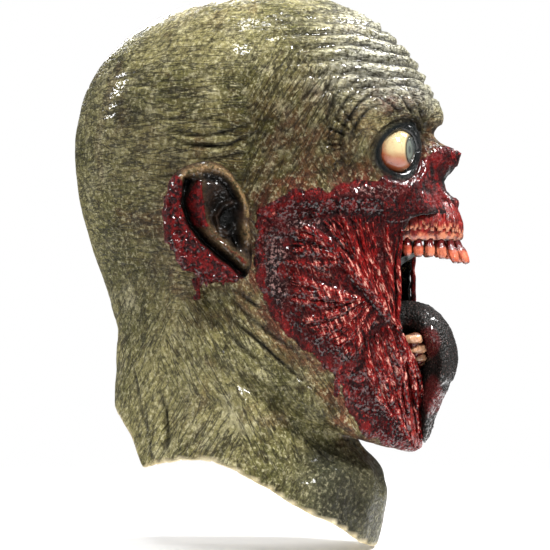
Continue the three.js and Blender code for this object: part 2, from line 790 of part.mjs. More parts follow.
add("hood_skin", hoodSkin(), MATERIALS.skin);
for (const [side, sign] of [["right", -1], ["left", 1]]) {
  add(`${side}_ear`, ear(sign), MATERIALS.torn);
  add(`${side}_cheek_muscle`, cheekMuscle(sign), MATERIALS.muscle);
  add(`${side}_eyeball`, eyeballGeometry(), MATERIALS.sclera, eyeMatrix(sign));
  add(`${side}_iris`, irisGeometry(), MATERIALS.iris, eyeMatrix(sign));
  add(`${side}_cornea`, corneaGeometry(), MATERIALS.cornea, eyeMatrix(sign));
  add(`${side}_eye_cup`, eyeCup(sign), MATERIALS.cup);
}
add("upper_gum", gum(upperArch, UPPER_ARCH, socketsFor(upperPlaces)), MATERIALS.gum);
add("lower_gum", gum(lowerArch, LOWER_ARCH, socketsFor(lowerPlaces)), MATERIALS.gum);
for (const [row, places] of [["upper", upperPlaces], ["lower", lowerPlaces]]) {
  for (const { matrix, width, length, name } of places) {
    add(`${row}_tooth_${name}`, toothGeometry(width, length), MATERIALS.tooth, matrix);
  }
}
add("tongue", tongueGeometry(), MATERIALS.tongue);
add("mouth_lining", liningGeometry(), MATERIALS.lining);
add("mouth_screen", screenGeometry(), MATERIALS.screen);

export default mask;
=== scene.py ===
"""The looks of a full-head latex zombie mask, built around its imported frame.

Lengths are in millimetres while a piece is shaped. A place is (side, forward, height): side is
towards the wearer's left, forward is where the face looks. Meshes are written out in metres.
"""

import json
import logging
import math
from dataclasses import dataclass
from enum import Enum
from typing import Callable, Iterable, Sequence, Union

import bmesh
import bpy
import numpy as np
from mathutils import Vector
from mathutils.kdtree import KDTree
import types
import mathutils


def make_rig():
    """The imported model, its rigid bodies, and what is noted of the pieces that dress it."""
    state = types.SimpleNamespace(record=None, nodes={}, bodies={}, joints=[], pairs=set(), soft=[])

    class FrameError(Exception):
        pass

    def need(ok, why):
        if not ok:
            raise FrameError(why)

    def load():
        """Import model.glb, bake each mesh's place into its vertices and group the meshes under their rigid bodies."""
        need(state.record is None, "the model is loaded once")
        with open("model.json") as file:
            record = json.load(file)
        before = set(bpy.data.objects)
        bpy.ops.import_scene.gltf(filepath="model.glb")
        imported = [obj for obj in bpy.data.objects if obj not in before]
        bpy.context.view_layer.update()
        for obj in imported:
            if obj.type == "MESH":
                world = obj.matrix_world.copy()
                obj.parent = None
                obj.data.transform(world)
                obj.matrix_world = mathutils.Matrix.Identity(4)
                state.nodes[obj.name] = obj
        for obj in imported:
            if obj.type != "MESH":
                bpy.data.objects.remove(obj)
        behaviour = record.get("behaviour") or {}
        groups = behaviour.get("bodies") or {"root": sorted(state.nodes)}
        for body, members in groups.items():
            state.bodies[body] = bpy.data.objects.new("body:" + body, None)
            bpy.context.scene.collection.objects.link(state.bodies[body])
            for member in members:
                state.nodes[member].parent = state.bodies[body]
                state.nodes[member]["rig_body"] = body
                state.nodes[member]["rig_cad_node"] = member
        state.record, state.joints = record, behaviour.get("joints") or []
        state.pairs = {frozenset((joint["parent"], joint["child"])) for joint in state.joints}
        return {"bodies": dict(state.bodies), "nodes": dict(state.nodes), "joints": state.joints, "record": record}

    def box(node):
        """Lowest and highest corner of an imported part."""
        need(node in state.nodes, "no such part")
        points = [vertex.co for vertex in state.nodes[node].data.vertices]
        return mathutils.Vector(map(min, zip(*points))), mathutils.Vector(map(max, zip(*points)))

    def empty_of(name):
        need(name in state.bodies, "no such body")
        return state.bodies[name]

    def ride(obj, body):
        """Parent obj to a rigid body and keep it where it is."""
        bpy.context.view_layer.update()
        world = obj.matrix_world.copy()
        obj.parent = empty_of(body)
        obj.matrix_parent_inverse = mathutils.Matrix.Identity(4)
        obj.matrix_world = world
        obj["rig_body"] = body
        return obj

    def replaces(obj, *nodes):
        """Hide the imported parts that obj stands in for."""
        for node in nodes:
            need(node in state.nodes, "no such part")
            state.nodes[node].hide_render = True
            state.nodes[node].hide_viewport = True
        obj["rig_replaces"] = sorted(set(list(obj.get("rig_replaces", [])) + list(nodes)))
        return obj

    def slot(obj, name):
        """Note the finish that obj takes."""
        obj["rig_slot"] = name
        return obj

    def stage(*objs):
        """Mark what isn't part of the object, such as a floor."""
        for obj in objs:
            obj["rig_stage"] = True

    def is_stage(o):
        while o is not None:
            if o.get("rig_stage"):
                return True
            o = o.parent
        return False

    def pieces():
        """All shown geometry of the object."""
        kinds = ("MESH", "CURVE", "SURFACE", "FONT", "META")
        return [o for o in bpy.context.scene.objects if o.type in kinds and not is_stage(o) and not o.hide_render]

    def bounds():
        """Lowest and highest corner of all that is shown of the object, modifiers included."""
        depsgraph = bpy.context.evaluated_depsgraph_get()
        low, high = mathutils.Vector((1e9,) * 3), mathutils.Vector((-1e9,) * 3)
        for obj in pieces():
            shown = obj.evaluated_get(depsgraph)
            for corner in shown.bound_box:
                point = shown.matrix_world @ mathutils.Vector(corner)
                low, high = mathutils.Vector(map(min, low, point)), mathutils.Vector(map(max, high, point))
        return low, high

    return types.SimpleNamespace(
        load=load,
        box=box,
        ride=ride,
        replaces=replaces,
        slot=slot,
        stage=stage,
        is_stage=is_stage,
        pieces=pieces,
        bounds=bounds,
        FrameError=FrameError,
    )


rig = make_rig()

LOG = logging.getLogger("mask")
MASK = "mask"
TONGUE = "tongue"
FLIP = np.array([1, -1, 1])  # turns a place to Blender's axes and back
CREASE_TURNS = (0, 60, 120)  # the directions that fine creases are mixed from, in degrees
Place = Sequence[float]
Colour = tuple[float, float, float, float]


class Side(Enum):
    """The two sides of the wearer's head. The value is the sign of the side coordinate."""

    RIGHT = -1
    LEFT = 1

    @property
    def label(self) -> str:
        """The side's name in node names."""
        return self.name.lower()


def rgb(red: float, green: float, blue: float) -> Colour:
    """A linear colour with full alpha from red, green and blue as painted, from 0 to 255."""

    def linear(part: float) -> float:
        """One channel, from 0 to 1."""
        share = part / 255
        return share / 12.92 if share <= 0.04045 else ((share + 0.055) / 1.055) ** 2.4

    return (linear(red), linear(green), linear(blue), 1.0)


# ------------------------------------------------------------------ shape tools


def smooth(low: float, high: float, value: np.ndarray) -> np.ndarray:
    """A smooth step.

    Args:
        low: Where the step starts; it may be above high, for a falling step.
        high: Where the step ends.
        value: What is stepped.

    Returns:
        0 before low, 1 after high, and a smooth rise between them.
    """
    share = np.clip((value - low) / (high - low), 0, 1)
    return share * share * (3 - 2 * share)


def bell(offset: np.ndarray, width: float) -> np.ndarray:
    """A soft bump, 1 where the offset is 0 and mostly gone where it is the width."""
    return np.exp(-((offset / width) ** 2))


def bowed(value: np.ndarray, power: float) -> np.ndarray:
    """A power of the value's size, with the value's own sign."""
    return np.sign(value) * np.abs(value) ** power


def ring_angles(count: int) -> np.ndarray:
    """Evenly spaced angles of a full turn, in radians."""
    return np.arange(count) * 2 * math.pi / count


def soft_spot(flat: np.ndarray, middle: Place, size: Place, power: float = 1) -> np.ndarray:
    """A soft spot on a plane.

    Args:
        flat: Points of the plane.
        middle: The spot's middle.
        size: How far it reaches in each direction.
        power: Above 1, the spot has a flatter middle and a steeper edge.

    Returns:
        1 at the middle, falling to 0 around it.
    """
    offset = (flat - np.array(middle)) / np.array(size)
    return np.exp(-np.sum(offset**2, axis=-1) ** power)


def strongest(flat: np.ndarray, spots: Iterable[Place], power: float = 1) -> np.ndarray:
    """The strongest of some soft spots, each given as (along, height, wide, tall, share)."""
    total = np.zeros(flat.shape[:-1])
    for along, height, wide, tall, share in spots:
        total = np.maximum(total, share * soft_spot(flat, (along, height), (wide, tall), power))
    return total


def lattice_noise(places: np.ndarray, size: float, seed: int = 0) -> np.ndarray:
    """Smooth noise from -1 to 1.

    Args:
        places: Points, with their three coordinates in the last axis.
        size: The noise's grain in the points' own unit.
        seed: Picks the pattern.

    Returns:
        One value for each point.
    """
    grid = places / size + 1000.0
    cell = np.floor(grid).astype(np.int64)
    part = grid - cell
    part = part * part * (3 - 2 * part)
    total = np.zeros(places.shape[:-1])
    for corner in range(8):
        step = np.array([corner & 1, corner >> 1 & 1, corner >> 2 & 1])
        key = cell + step
        mixed = key[..., 0] * 73856093 ^ key[..., 1] * 19349663 ^ key[..., 2] * 83492791 ^ seed * 2654435761
        mixed = (mixed ^ (mixed >> 13)) * 1274126177
        value = ((mixed ^ (mixed >> 16)) & 0xFFFF) / 32767.5 - 1
        weight = np.prod(np.where(step == 1, part, 1 - part), axis=-1)
        total += value * weight
    return total


def rough_noise(places: np.ndarray, size: float, octaves: int, seed: int = 0) -> np.ndarray:
    """Noise of several sizes, each half the last one's size and height."""
    total = np.zeros(places.shape[:-1])
    for octave in range(octaves):
        total += lattice_noise(places, size / 2**octave, seed + octave) / 2**octave
    return total


def spline(points: Sequence[Place], shares: np.ndarray) -> np.ndarray:
    """Points of a smooth curve.

    Args:
        points: What the curve passes through, evenly spaced in its parameter.
        shares: Where to read it, from 0 to 1.

    Returns:
        One point for each share.
    """
    knots = np.asarray(points, float)
    ends = np.concatenate([[2 * knots[0] - knots[1]], knots, [2 * knots[-1] - knots[-2]]])
    place = np.clip(shares, 0, 1) * (len(knots) - 1)
    index = np.minimum(place.astype(int), len(knots) - 2)
    t = (place - index)[..., None]
    a, b, c, d = (ends[index + k] for k in range(4))
    slope_in, slope_out = (c - a) / 2, (d - b) / 2
    return (
        (2 * t**3 - 3 * t**2 + 1) * b
        + (t**3 - 2 * t**2 + t) * slope_in
        + (3 * t**2 - 2 * t**3) * c
        + (t**3 - t**2) * slope_out
    )


def outline_distance(places: np.ndarray, outline: Sequence[Place]) -> np.ndarray:
    """Signed distance to a closed outline in a plane, below 0 inside it."""
    corners = np.asarray(outline, float)
    nearest = np.full(places.shape[:-1], 1e9)
    inside = np.zeros(places.shape[:-1], bool)
    for start, end in zip(corners, np.roll(corners, -1, axis=0)):
        edge = end - start
        share = np.clip(((places - start) @ edge) / (edge @ edge), 0, 1)
        nearest = np.minimum(nearest, np.linalg.norm(places - start - share[..., None] * edge, axis=-1))
        crosses = (start[1] > places[..., 1]) != (end[1] > places[..., 1])
        rise = np.where(end[1] == start[1], 1e-9, end[1] - start[1])
        at = start[0] + (places[..., 1] - start[1]) * edge[0] / rise
        inside ^= crosses & (places[..., 0] < at)
    return np.where(inside, -nearest, nearest)


def along_line(places: np.ndarray, line: Sequence[Place]) -> tuple[np.ndarray, np.ndarray]:
    """How points lie to an open line of any number of dimensions.

    Args:
        places: The points.
        line: The line's knots.

    Returns:
        Their distance to it, and the share of its length where they are nearest.
    """
    knots = np.asarray(line, float)
    lengths = np.linalg.norm(np.diff(knots, axis=0), axis=1)
    total = max(float(lengths.sum()), 1e-6)
    nearest = np.full(places.shape[:-1], 1e9)
    share = np.zeros(places.shape[:-1])
    before = 0.0
    for start, end, length in zip(knots[:-1], knots[1:], lengths):
        edge = end - start
        part = np.clip(((places - start) @ edge) / max(edge @ edge, 1e-9), 0, 1)
        distance = np.linalg.norm(places - start - part[..., None] * edge, axis=-1)
        share = np.where(distance < nearest, (before + part * length) / total, share)
        nearest = np.minimum(nearest, distance)
        before += length
    return nearest, share


def line_distance(places: np.ndarray, line: Sequence[Place]) -> np.ndarray:
    """Distance to an open line of any number of dimensions."""
    return along_line(places, line)[0]


def near_line(places: np.ndarray, line: np.ndarray, reach: float) -> np.ndarray:
    """The numbers of the points inside a line's box, which is widened by the reach."""
    low, high = line.min(axis=0) - reach, line.max(axis=0) + reach
    return np.flatnonzero(np.all((places > low) & (places < high), axis=1))


def grid_normals(points: np.ndarray) -> np.ndarray:
    """Outward normals of a grid whose columns run round to the left and whose rows run up."""
    across = np.gradient(points, axis=1)
    up = np.gradient(points, axis=0)
    normal = np.cross(up, across)
    return normal / np.maximum(np.linalg.norm(normal, axis=-1, keepdims=True), 1e-9)


def grid_quads(rows: int, columns: int, closed: bool) -> np.ndarray:
    """The quads of a grid of points.

    Args:
        rows: Number of rows.
        columns: Number of points in a row.
        closed: Whether each row is a ring.

    Returns:
        Four point numbers for each quad.
    """
    last = columns if closed else columns - 1
    row, column = np.meshgrid(np.arange(rows - 1), np.arange(last), indexing="ij")
    after = (column + 1) % columns
    corners = [row * columns + column, (row + 1) * columns + column, (row + 1) * columns + after]
    corners.append(row * columns + after)
    return np.stack(corners, axis=-1).reshape(-1, 4)


class MeshDraft:
    """A mesh in the making: points in millimetres, faces, and values at the points."""

    def __init__(self) -> None:
        """Starts empty."""
        self.points: list[np.ndarray] = []
        self.faces: list[np.ndarray] = []
        self.values: dict[str, list[np.ndarray]] = {}
        self.count = 0

    def add(self, points: np.ndarray, faces: Iterable[np.ndarray], **values: np.ndarray) -> int:
        """Adds a part.

        Args:
            points: Its places, as rows of side, forward and height.
            faces: Arrays of faces, each with three or four point numbers in a row.
            values: Named values at its points. A name not given is 0 there.

        Returns:
            The number of its first point.
        """
        first = self.count
        flat = points.reshape(-1, 3)
        for name, value in values.items():
            missing = [np.zeros((first,) + value.reshape(len(flat), -1).shape[1:])] if first else []
            self.values.setdefault(name, missing)
        for name, parts in self.values.items():
            width = parts[0].shape[1] if parts else values[name].reshape(len(flat), -1).shape[1]
            given = values.get(name)
            parts.append(np.zeros((len(flat), width)) if given is None else given.reshape(len(flat), -1))
        self.points.append(flat)
        self.faces += [part + first for part in faces]
        self.count += len(flat)
        return first

    def build(self, name: str) -> bpy.types.Object:
        """Makes the Blender object, smooth shaded and in metres."""
        places = np.concatenate(self.points) * FLIP / 1000
        used = np.zeros(len(places), bool)
        for part in self.faces:
            used[part.ravel()] = True
        number = np.cumsum(used) - 1
        faces = [number[part[:, ::-1]] for part in self.faces]
        mesh = bpy.data.meshes.new(name)
        mesh.vertices.add(int(used.sum()))
        mesh.vertices.foreach_set("co", places[used].astype(np.float32).ravel())
        corners = np.concatenate([part.ravel() for part in faces])
        sizes = np.concatenate([np.full(len(part), part.shape[1]) for part in faces])
        mesh.loops.add(len(corners))
        mesh.loops.foreach_set("vertex_index", corners.astype(np.int32))
        mesh.polygons.add(len(sizes))
        mesh.polygons.foreach_set("loop_start", (np.cumsum(sizes) - sizes).astype(np.int32))
        mesh.polygons.foreach_set("use_smooth", np.ones(len(sizes), bool))
        for key, parts in self.values.items():
            value = np.concatenate(parts)[used].astype(np.float32)
            kind, slot = ("FLOAT", "value") if value.shape[1] == 1 else ("FLOAT_VECTOR", "vector")
            mesh.attributes.new(key, kind, "POINT").data.foreach_set(slot, value.ravel())
        mesh.validate()
        shape = bmesh.new()
        shape.from_mesh(mesh)
        bmesh.ops.recalc_face_normals(shape, faces=shape.faces)
        shape.to_mesh(mesh)
        shape.free()
        mesh.update()
        made = bpy.data.objects.new(name, mesh)
        bpy.context.scene.collection.objects.link(made)
        return made


def finish_piece(
    piece: bpy.types.Object, material: bpy.types.Material, slot: str, nodes: Iterable[str], body: str = MASK
) -> bpy.types.Object:
    """Dresses a piece and ties it to the frame.

    Args:
        piece: The Blender object.
        material: Its finish.
        slot: The record's material slot.
        nodes: The CAD nodes that it stands for.
        body: The body that it rides on.

    Returns:
        The piece.
    """
    piece.data.materials.clear()
    piece.data.materials.append(material)
    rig.slot(piece, slot)
    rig.replaces(piece, *nodes)
    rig.ride(piece, body)
    LOG.info("%s: %d faces on %s", piece.name, len(piece.data.polygons), body)
    return piece


# ------------------------------------------------------------------ the head's form


@dataclass(frozen=True)
class Section:
    """One section of the hood: front and back as (forward, height), side as all three."""

    front: tuple[float, float]
    side: tuple[float, float, float]
    back: tuple[float, float]
    round: tuple[float, float] = (2, 2)


SECTIONS = {
    "skirt": Section((66, -385), (78, -8, -350), (-92, -335)),
    "bib": Section((79, -338), (72, -12, -312), (-97, -300)),
    "collar": Section((80, -312), (65, -16, -288), (-98, -276)),
    "throat": Section((60, -282), (61, -20, -264), (-98, -254)),
    "under_jaw": Section((86, -290), (60, -16, -250), (-97, -242)),
    "chin": Section((102.5, -291), (60, -10, -238), (-97, -232)),
    "chin_front": Section((103.5, -272), (60, -4, -224), (-97, -222), (2.1, 2)),
    "lower_gum": Section((107, -243), (61, 2, -208), (-98, -211), (2.2, 2)),
    "mouth": Section((118, -200), (64, 6, -184), (-102, -194)),
    "upper_gum": Section((125, -158), (68, 4, -162), (-109, -175), (1.75, 2)),
    "sill": Section((122, -136), (74, 0, -140), (-116, -154), (1.8, 2)),
    "cheekbone": Section((115, -116), (78, -5, -120), (-122, -132), (1.9, 2)),
    "eyes": Section((109.5, -93), (81, -8, -99), (-124.5, -108), (2.1, 2)),
    "brow": Section((112, -73), (83.5, -10, -79), (-124, -84), (2.2, 2)),
    "forehead": Section((104.5, -52), (84, -12, -58), (-117, -60), (2.1, 2)),
    "hairline": Section((91, -31), (78.5, -13, -35), (-103, -38)),
    "upper_skull": Section((69, -12.5), (63, -12, -15), (-79, -17)),
    "crown": Section((42, 0.3), (40, -6, -2), (-46, -4)),
    "top": Section((14, 2.9), (0.4, 13.6, 2.9), (13.2, 2.9)),
}
TOP_LEVEL = 0.992
DRAWING_TURN = math.radians(10)  # the drawing plane is turned this far from the side view to the front


def level_of(name: str) -> float:
    """The level of a named section, from 0 at the skirt to 1 at the top."""
    return list(SECTIONS).index(name) / (len(SECTIONS) - 1)


def drawn(points: np.ndarray) -> np.ndarray:
    """Places on the drawing plane of the side that they are on, as (along, height)."""
    along = points[..., 1] * math.cos(DRAWING_TURN) - np.abs(points[..., 0]) * math.sin(DRAWING_TURN)
    return np.stack([along, points[..., 2]], axis=-1)


@dataclass(frozen=True)
class Swell:
    """A soft rise or hollow of the form, the same on both sides of the head."""

    centre: tuple[float, float, float]
    reach: tuple[float, float, float]
    rise: float

    def at(self, mirrored: np.ndarray) -> np.ndarray:
        """The rise at places whose side coordinate has lost its sign."""
        offset = (mirrored - np.array(self.centre)) / np.array(self.reach)
        return self.rise * np.exp(-np.sum(offset**2, axis=-1))


@dataclass(frozen=True)
class Cord:
    """A soft ridge or furrow along a line, the same on both sides of the head."""

    line: tuple[tuple[float, float, float], ...]
    reach: float
    rise: float

    def at(self, mirrored: np.ndarray) -> np.ndarray:
        """The rise at places whose side coordinate has lost its sign."""
        return self.rise * bell(line_distance(mirrored, self.line), self.reach)


FEATURES: tuple[Union[Swell, Cord], ...] = (
    Cord(((8, 112, -76), (26, 106, -68), (46, 92, -72), (58, 74, -84)), 10, 4.2),  # brow ridge
    Swell((0, 111, -80), (11, 20, 11), 2.6),  # glabella
    Cord(((16, 110, -70), (19, 107, -88)), 4.5, -2.6),  # frown furrow
    Swell((34, 104, -100), (19, 18, 17), -4.5),  # eye socket
    Cord(((24, 102, -121), (38, 96, -124), (52, 82, -119)), 5.5, 2.8),  # bag under the eye
    Cord(((48, 86, -130), (66, 60, -130), (77, 24, -132)), 9, 3.4),  # cheekbone
    Cord(((46, 80, -142), (62, 56, -142), (72, 30, -144)), 6, -2.6),  # under the cheekbone
    Swell((76, 48, -84), (12, 24, 24), -3.0),  # temple
    Swell((72, 10, -200), (16, 34, 34), -2.0),  # hollow of the cheek
    Cord(((61, -10, -232), (52, 45, -262), (34, 84, -288)), 6, 2.6),  # edge of the jaw
    Cord(((60, -4, -246), (50, 40, -276), (38, 62, -292)), 7, -5.0),  # under the jaw
    Cord(((70, -44, -178), (63, -20, -232), (58, 10, -276), (54, 24, -300)), 9, 4.8),  # neck muscle
    Swell((57, 30, -262), (13, 13, 13), 4.0),  # knot of the neck muscle
    Swell((56, 36, -294), (14, 14, 10), -8.5),  # hollow over the collar
    Cord(((30, 66, -284), (42, 58, -291), (52, 50, -302)), 4, -3.5),  # arch of the throat
    Swell((44, 58, -302), (12, 12, 12), 4.2),  # windpipe side
    Cord(((20, 74, -300), (30, 70, -330), (32, 64, -350)), 8, 2.6),  # bib fold
    Cord(((66, -66, -255), (64, -70, -300)), 6, 4.4),  # fold behind the shoulder
    Cord(((60, -52, -262), (60, -52, -292)), 7, -3.4),
    Cord(((56, -84, -240), (52, -84, -290)), 8, -3.4),
    Cord(((0, -99, -214), (40, -92, -218)), 8, -1.6),  # nape fold
)

# The face's middle line over the severed nose, as (height, forward).
NOSE_LINE = (
    (-82, 108.5),
    (-90, 112.5),
    (-95, 118),
    (-97.5, 126),
    (-100.5, 130),
    (-107, 128),
    (-113, 124),
    (-120, 121.5),
    (-124, 121.5),
    (-128, 125),
    (-131, 128),
    (-137, 126.5),
    (-145, 125.5),
)


class HeadForm:
    """The smooth form of the head, which the hood and the castings on it follow."""

    def __init__(self) -> None:
        """Reads the sections."""
        rows = SECTIONS.values()
        self.front = [(0, *row.front) for row in rows]
        self.side = [row.side for row in rows]
        self.back = [(0, *row.back) for row in rows]
        self.round = [row.round for row in rows]

    def base(self, turn: np.ndarray, level: np.ndarray) -> np.ndarray:
        """Points of the bare form.

        Args:
            turn: Angles round from the front towards the left, in radians.
            level: Levels from 0 to 1.

        Returns:
            Their places.
        """
        ahead = np.cos(turn) > 0
        end = np.where(ahead[..., None], spline(self.front, level), spline(self.back, level))
        side = spline(self.side, level)
        rounding = spline(self.round, level)
        power = 2 / np.where(ahead, rounding[..., 0], rounding[..., 1])
        along = np.abs(np.cos(turn)) ** power
        across = bowed(np.sin(turn), power)
        middle = side[..., 1:] + (end[..., 1:] - side[..., 1:]) * along[..., None]
        return np.concatenate([(side[..., 0] * across)[..., None], middle], axis=-1)

    def surface(
        self, turn: np.ndarray, level: np.ndarray, wrapped: bool = False
    ) -> tuple[np.ndarray, np.ndarray]:
        """The form with its soft features.

        Args:
            turn: A grid of angles, whose columns run round to the left.
            level: A grid of levels, whose rows run up.
            wrapped: Whether the columns close into a ring.

        Returns:
            The places and their outward normals.
        """
        points = self.base(turn, level)
        normals = self.normals(points, wrapped)
        mirrored = np.abs(points) * np.array([1, 0, 0]) + points * np.array([0, 1, 1])
        rise = sum(feature.at(mirrored) for feature in FEATURES)
        rise = rise + 0.9 * lattice_noise(points, 34, 3) + 0.5 * lattice_noise(points, 15, 5)
        points = points + rise[..., None] * normals
        line = np.array(NOSE_LINE)[::-1]
        target = np.interp(points[..., 2], line[:, 0], line[:, 1], left=0, right=0)
        half = np.interp(points[..., 2], [-140, -131, -120, -108, -98, -86], [22, 13, 12, 13, 11, 9])
        share = 1 / (1 + (np.abs(points[..., 0]) / half) ** 4)
        ahead = smooth(85, 96, points[..., 1]) * (target > 0)
        push = np.maximum(target - points[..., 1], -3) * share * ahead
        points = points + push[..., None] * np.array([0, 1, 0])
        return points, self.normals(points, wrapped)

    @staticmethod
    def normals(points: np.ndarray, wrapped: bool) -> np.ndarray:
        """Normals of a grid, read across its seam where it is wrapped."""
        if not wrapped:
            return grid_normals(points)
        padded = np.concatenate([points[:, -2:], points, points[:, :2]], axis=1)
        return grid_normals(padded)[:, 2:-2]


# ------------------------------------------------------------------ strokes on the form


@dataclass(frozen=True)
class Furrow:
    """A crease or a ridge along a line on the surface.

    The line's points are places. width is where the crease has mostly gone, depth is how far it
    goes in, lip is how far the skin beside it rises, as a share of depth.
    """

    line: np.ndarray
    width: float
    depth: float
    lip: float = 0.45

    def press(self, places: np.ndarray, rise: np.ndarray, cavity: np.ndarray) -> None:
        """Adds the furrow.

        Args:
            places: Points of the surface, one in a row.
            rise: How far each goes out, which is changed.
            cavity: How deep each lies in a crease, from 0 to 1, which is changed.
        """
        near = near_line(places, self.line, 4 * self.width)
        if not len(near):
            return
        distance, share = along_line(places[near], self.line)
        taper = np.clip(np.sin(math.pi * (0.06 + 0.88 * share)), 0, 1) ** 0.7
        pit = bell(distance, self.width)
        lip = bell(distance - 2.1 * self.width, 1.1 * self.width)
        rise[near] += taper * self.depth * (self.lip * lip - pit)
        cavity[near] = np.maximum(cavity[near], taper * pit * min(abs(self.depth) / 1.2, 1))


class SideChart:
    """Finds places on a surface from points of the drawing plane."""

    def __init__(self, points: np.ndarray) -> None:
        """Reads the points of one side of the surface, given as places."""
        chosen = points.reshape(-1, 3)
        self.points = chosen[chosen[:, 0] < -1.0]
        flat = drawn(self.points)
        self.tree = KDTree(len(flat))
        for index, (along, height) in enumerate(flat):
            self.tree.insert((along, height, 0), index)
        self.tree.balance()

    def trace(self, line: Sequence[Place], side: Side, step: float = 2.5) -> np.ndarray:
        """A line on the surface.

        Args:
            line: Its knots on the drawing plane, which a smooth curve joins.
            side: The side of the head that it lies on.
            step: The distance between the points that are looked up.

        Returns:
            Places along it.
        """
        knots = np.asarray(line, float)
        length = float(np.linalg.norm(np.diff(knots, axis=0), axis=1).sum())
        count = max(int(length / step) + 1, 3)
        path = spline([(*knot, 0) for knot in knots], np.linspace(0, 1, count))
        found = []
        for along, height, _ in path:
            near = self.tree.find_n((along, height, 0), 4)
            weights = np.array([1 / (0.3 + distance) for _, _, distance in near])
            picked = self.points[[index for _, index, _ in near]]
            found.append((picked * weights[:, None]).sum(axis=0) / weights.sum())
        placed = np.array(found)
        if len(placed) > 4:
            placed[1:-1] = (placed[:-2] + 2 * placed[1:-1] + placed[2:]) / 4
        return placed * np.array([-side.value, 1, 1])


def cut_shell(
    draft: MeshDraft,
    outer: np.ndarray,
    inner: np.ndarray,
    keep: np.ndarray,
    values: dict[str, np.ndarray],
    inner_values: dict[str, np.ndarray],
    closed: bool,
    roll: float,
) -> None:
    """Adds a shell with a cut edge: an outer and an inner sheet, joined by a rounded rim.

    Args:
        draft: Where it goes.
        outer: The outer grid of places.
        inner: The inner grid, point for point.
        keep: A grid of numbers, above 0 where the shell stays.
        values: Values at the outer grid's points.
        inner_values: Values at the inner grid's points.
        closed: Whether each row is a ring.
        roll: How far the rim's middle stands out of the cut.
    """
    rows, columns = keep.shape
    quads = grid_quads(rows, columns, closed)
    level = keep.ravel()
    inside = level > 0
    corners = inside[quads]
    whole = quads[corners.all(axis=1)]
    mixed = quads[corners.any(axis=1) & ~corners.all(axis=1)]
    edge_ids: dict[tuple[int, int], int] = {}
    starts: list[int] = []
    ends: list[int] = []

    def crossing(kept: int, lost: int) -> int:
        """The number of the new point on the edge from a kept point to a lost one."""
        key = (kept, lost)
        if key not in edge_ids:
            edge_ids[key] = len(starts)
            starts.append(kept)
            ends.append(lost)
        return edge_ids[key]

    cells: dict[int, list[list[int]]] = {3: [], 4: [], 5: []}
    rims: list[tuple[int, int]] = []
    total = rows * columns
    for quad in mixed.tolist():
        ring: list[int] = []
        cut: list[int] = []
        for at in range(4):
            here, after = quad[at], quad[(at + 1) % 4]
            if inside[here]:
                ring.append(here)
            if inside[here] and not inside[after]:
                made = total + crossing(here, after)
                ring.append(made)
                cut.append(made)
            elif inside[after] and not inside[here]:
                made = total + crossing(after, here)
                ring.append(made)
                cut.append(made)
        if len(ring) in cells:
            cells[len(ring)].append(ring)
        if len(cut) == 2:
            exits = ring.index(cut[1]) == (ring.index(cut[0]) + 1) % len(ring)
            rims.append((cut[0], cut[1]) if exits else (cut[1], cut[0]))
    start, end = np.array(starts, int), np.array(ends, int)
    share = np.clip(level[start] / np.maximum(level[start] - level[end], 1e-9), 0.05, 0.95)[:, None]

    def with_cut(grid: np.ndarray) -> np.ndarray:
        """The grid's rows, and after them those of the new points."""
        flat = grid.reshape(total, -1)
        return np.concatenate([flat, flat[start] * (1 - share) + flat[end] * share])

    outside, within = with_cut(outer), with_cut(inner)
    first = draft.add(
        outside,
        [whole, *(np.array(part) for part in cells.values() if part)],
        **{name: with_cut(value) for name, value in values.items()},
    )
    second = draft.add(
        within,
        [whole[:, ::-1], *(np.array(part)[:, ::-1] for part in cells.values() if part)],
        **{name: with_cut(value) for name, value in inner_values.items()},
    )
    if not rims:
        return
    away = outer.reshape(total, 3)[end] - outer.reshape(total, 3)[start]
    away /= np.maximum(np.linalg.norm(away, axis=1, keepdims=True), 1e-9)
    middle = (outside[total:] + within[total:]) / 2 + away * roll
    rim_values = {name: with_cut(value)[total:] for name, value in inner_values.items()}
    third = draft.add(middle, [], **rim_values)
    pairs = np.array(rims)
    one, two = pairs[:, 0], pairs[:, 1]
    rim_one, rim_two = third + one - total, third + two - total
    draft.faces.append(np.stack([first + one, rim_one, rim_two, first + two], axis=1))
    draft.faces.append(np.stack([rim_one, second + one, second + two, rim_two], axis=1))


def add_tube(draft: MeshDraft, line: np.ndarray, radius: np.ndarray, sides: int, **values: Place) -> None:
    """Adds a closed strand.

    Args:
        draft: Where it goes.
        line: Places along its middle.
        radius: Its radius at each place.
        sides: Its number of sides.
        **values: Named values, the same all over it or one for each place.
    """
    tangent = np.gradient(line, axis=0)
    tangent /= np.maximum(np.linalg.norm(tangent, axis=1, keepdims=True), 1e-9)
    guide = np.array([0.3, 0.5, 0.8])
    across = np.cross(tangent, guide)
    across /= np.maximum(np.linalg.norm(across, axis=1, keepdims=True), 1e-9)
    other = np.cross(tangent, across)
    angle = ring_angles(sides)
    ring = across[:, None] * np.cos(angle)[:, None] + other[:, None] * np.sin(angle)[:, None]
    points = line[:, None] + ring * radius[:, None, None]
    count = len(line)
    flat = np.concatenate([points.reshape(-1, 3), line[:1], line[-1:]])
    step = np.arange(sides)
    after = (step + 1) % sides
    base = (count - 1) * sides
    start = np.stack([np.full(sides, count * sides), after, step], axis=1)
    finish = np.stack([np.full(sides, count * sides + 1), base + step, base + after], axis=1)
    spread = {}
    for name, value in values.items():
        rows = np.broadcast_to(np.asarray(value, float), (count, len(np.atleast_2d(value)[0])))
        spread[name] = np.concatenate([np.repeat(rows, sides, axis=0), rows[:1], rows[-1:]])
    draft.add(flat, [grid_quads(count, sides, True)[:, ::-1], start, finish], **spread)


# ------------------------------------------------------------------ finishes

Value = Union["Wire", float]


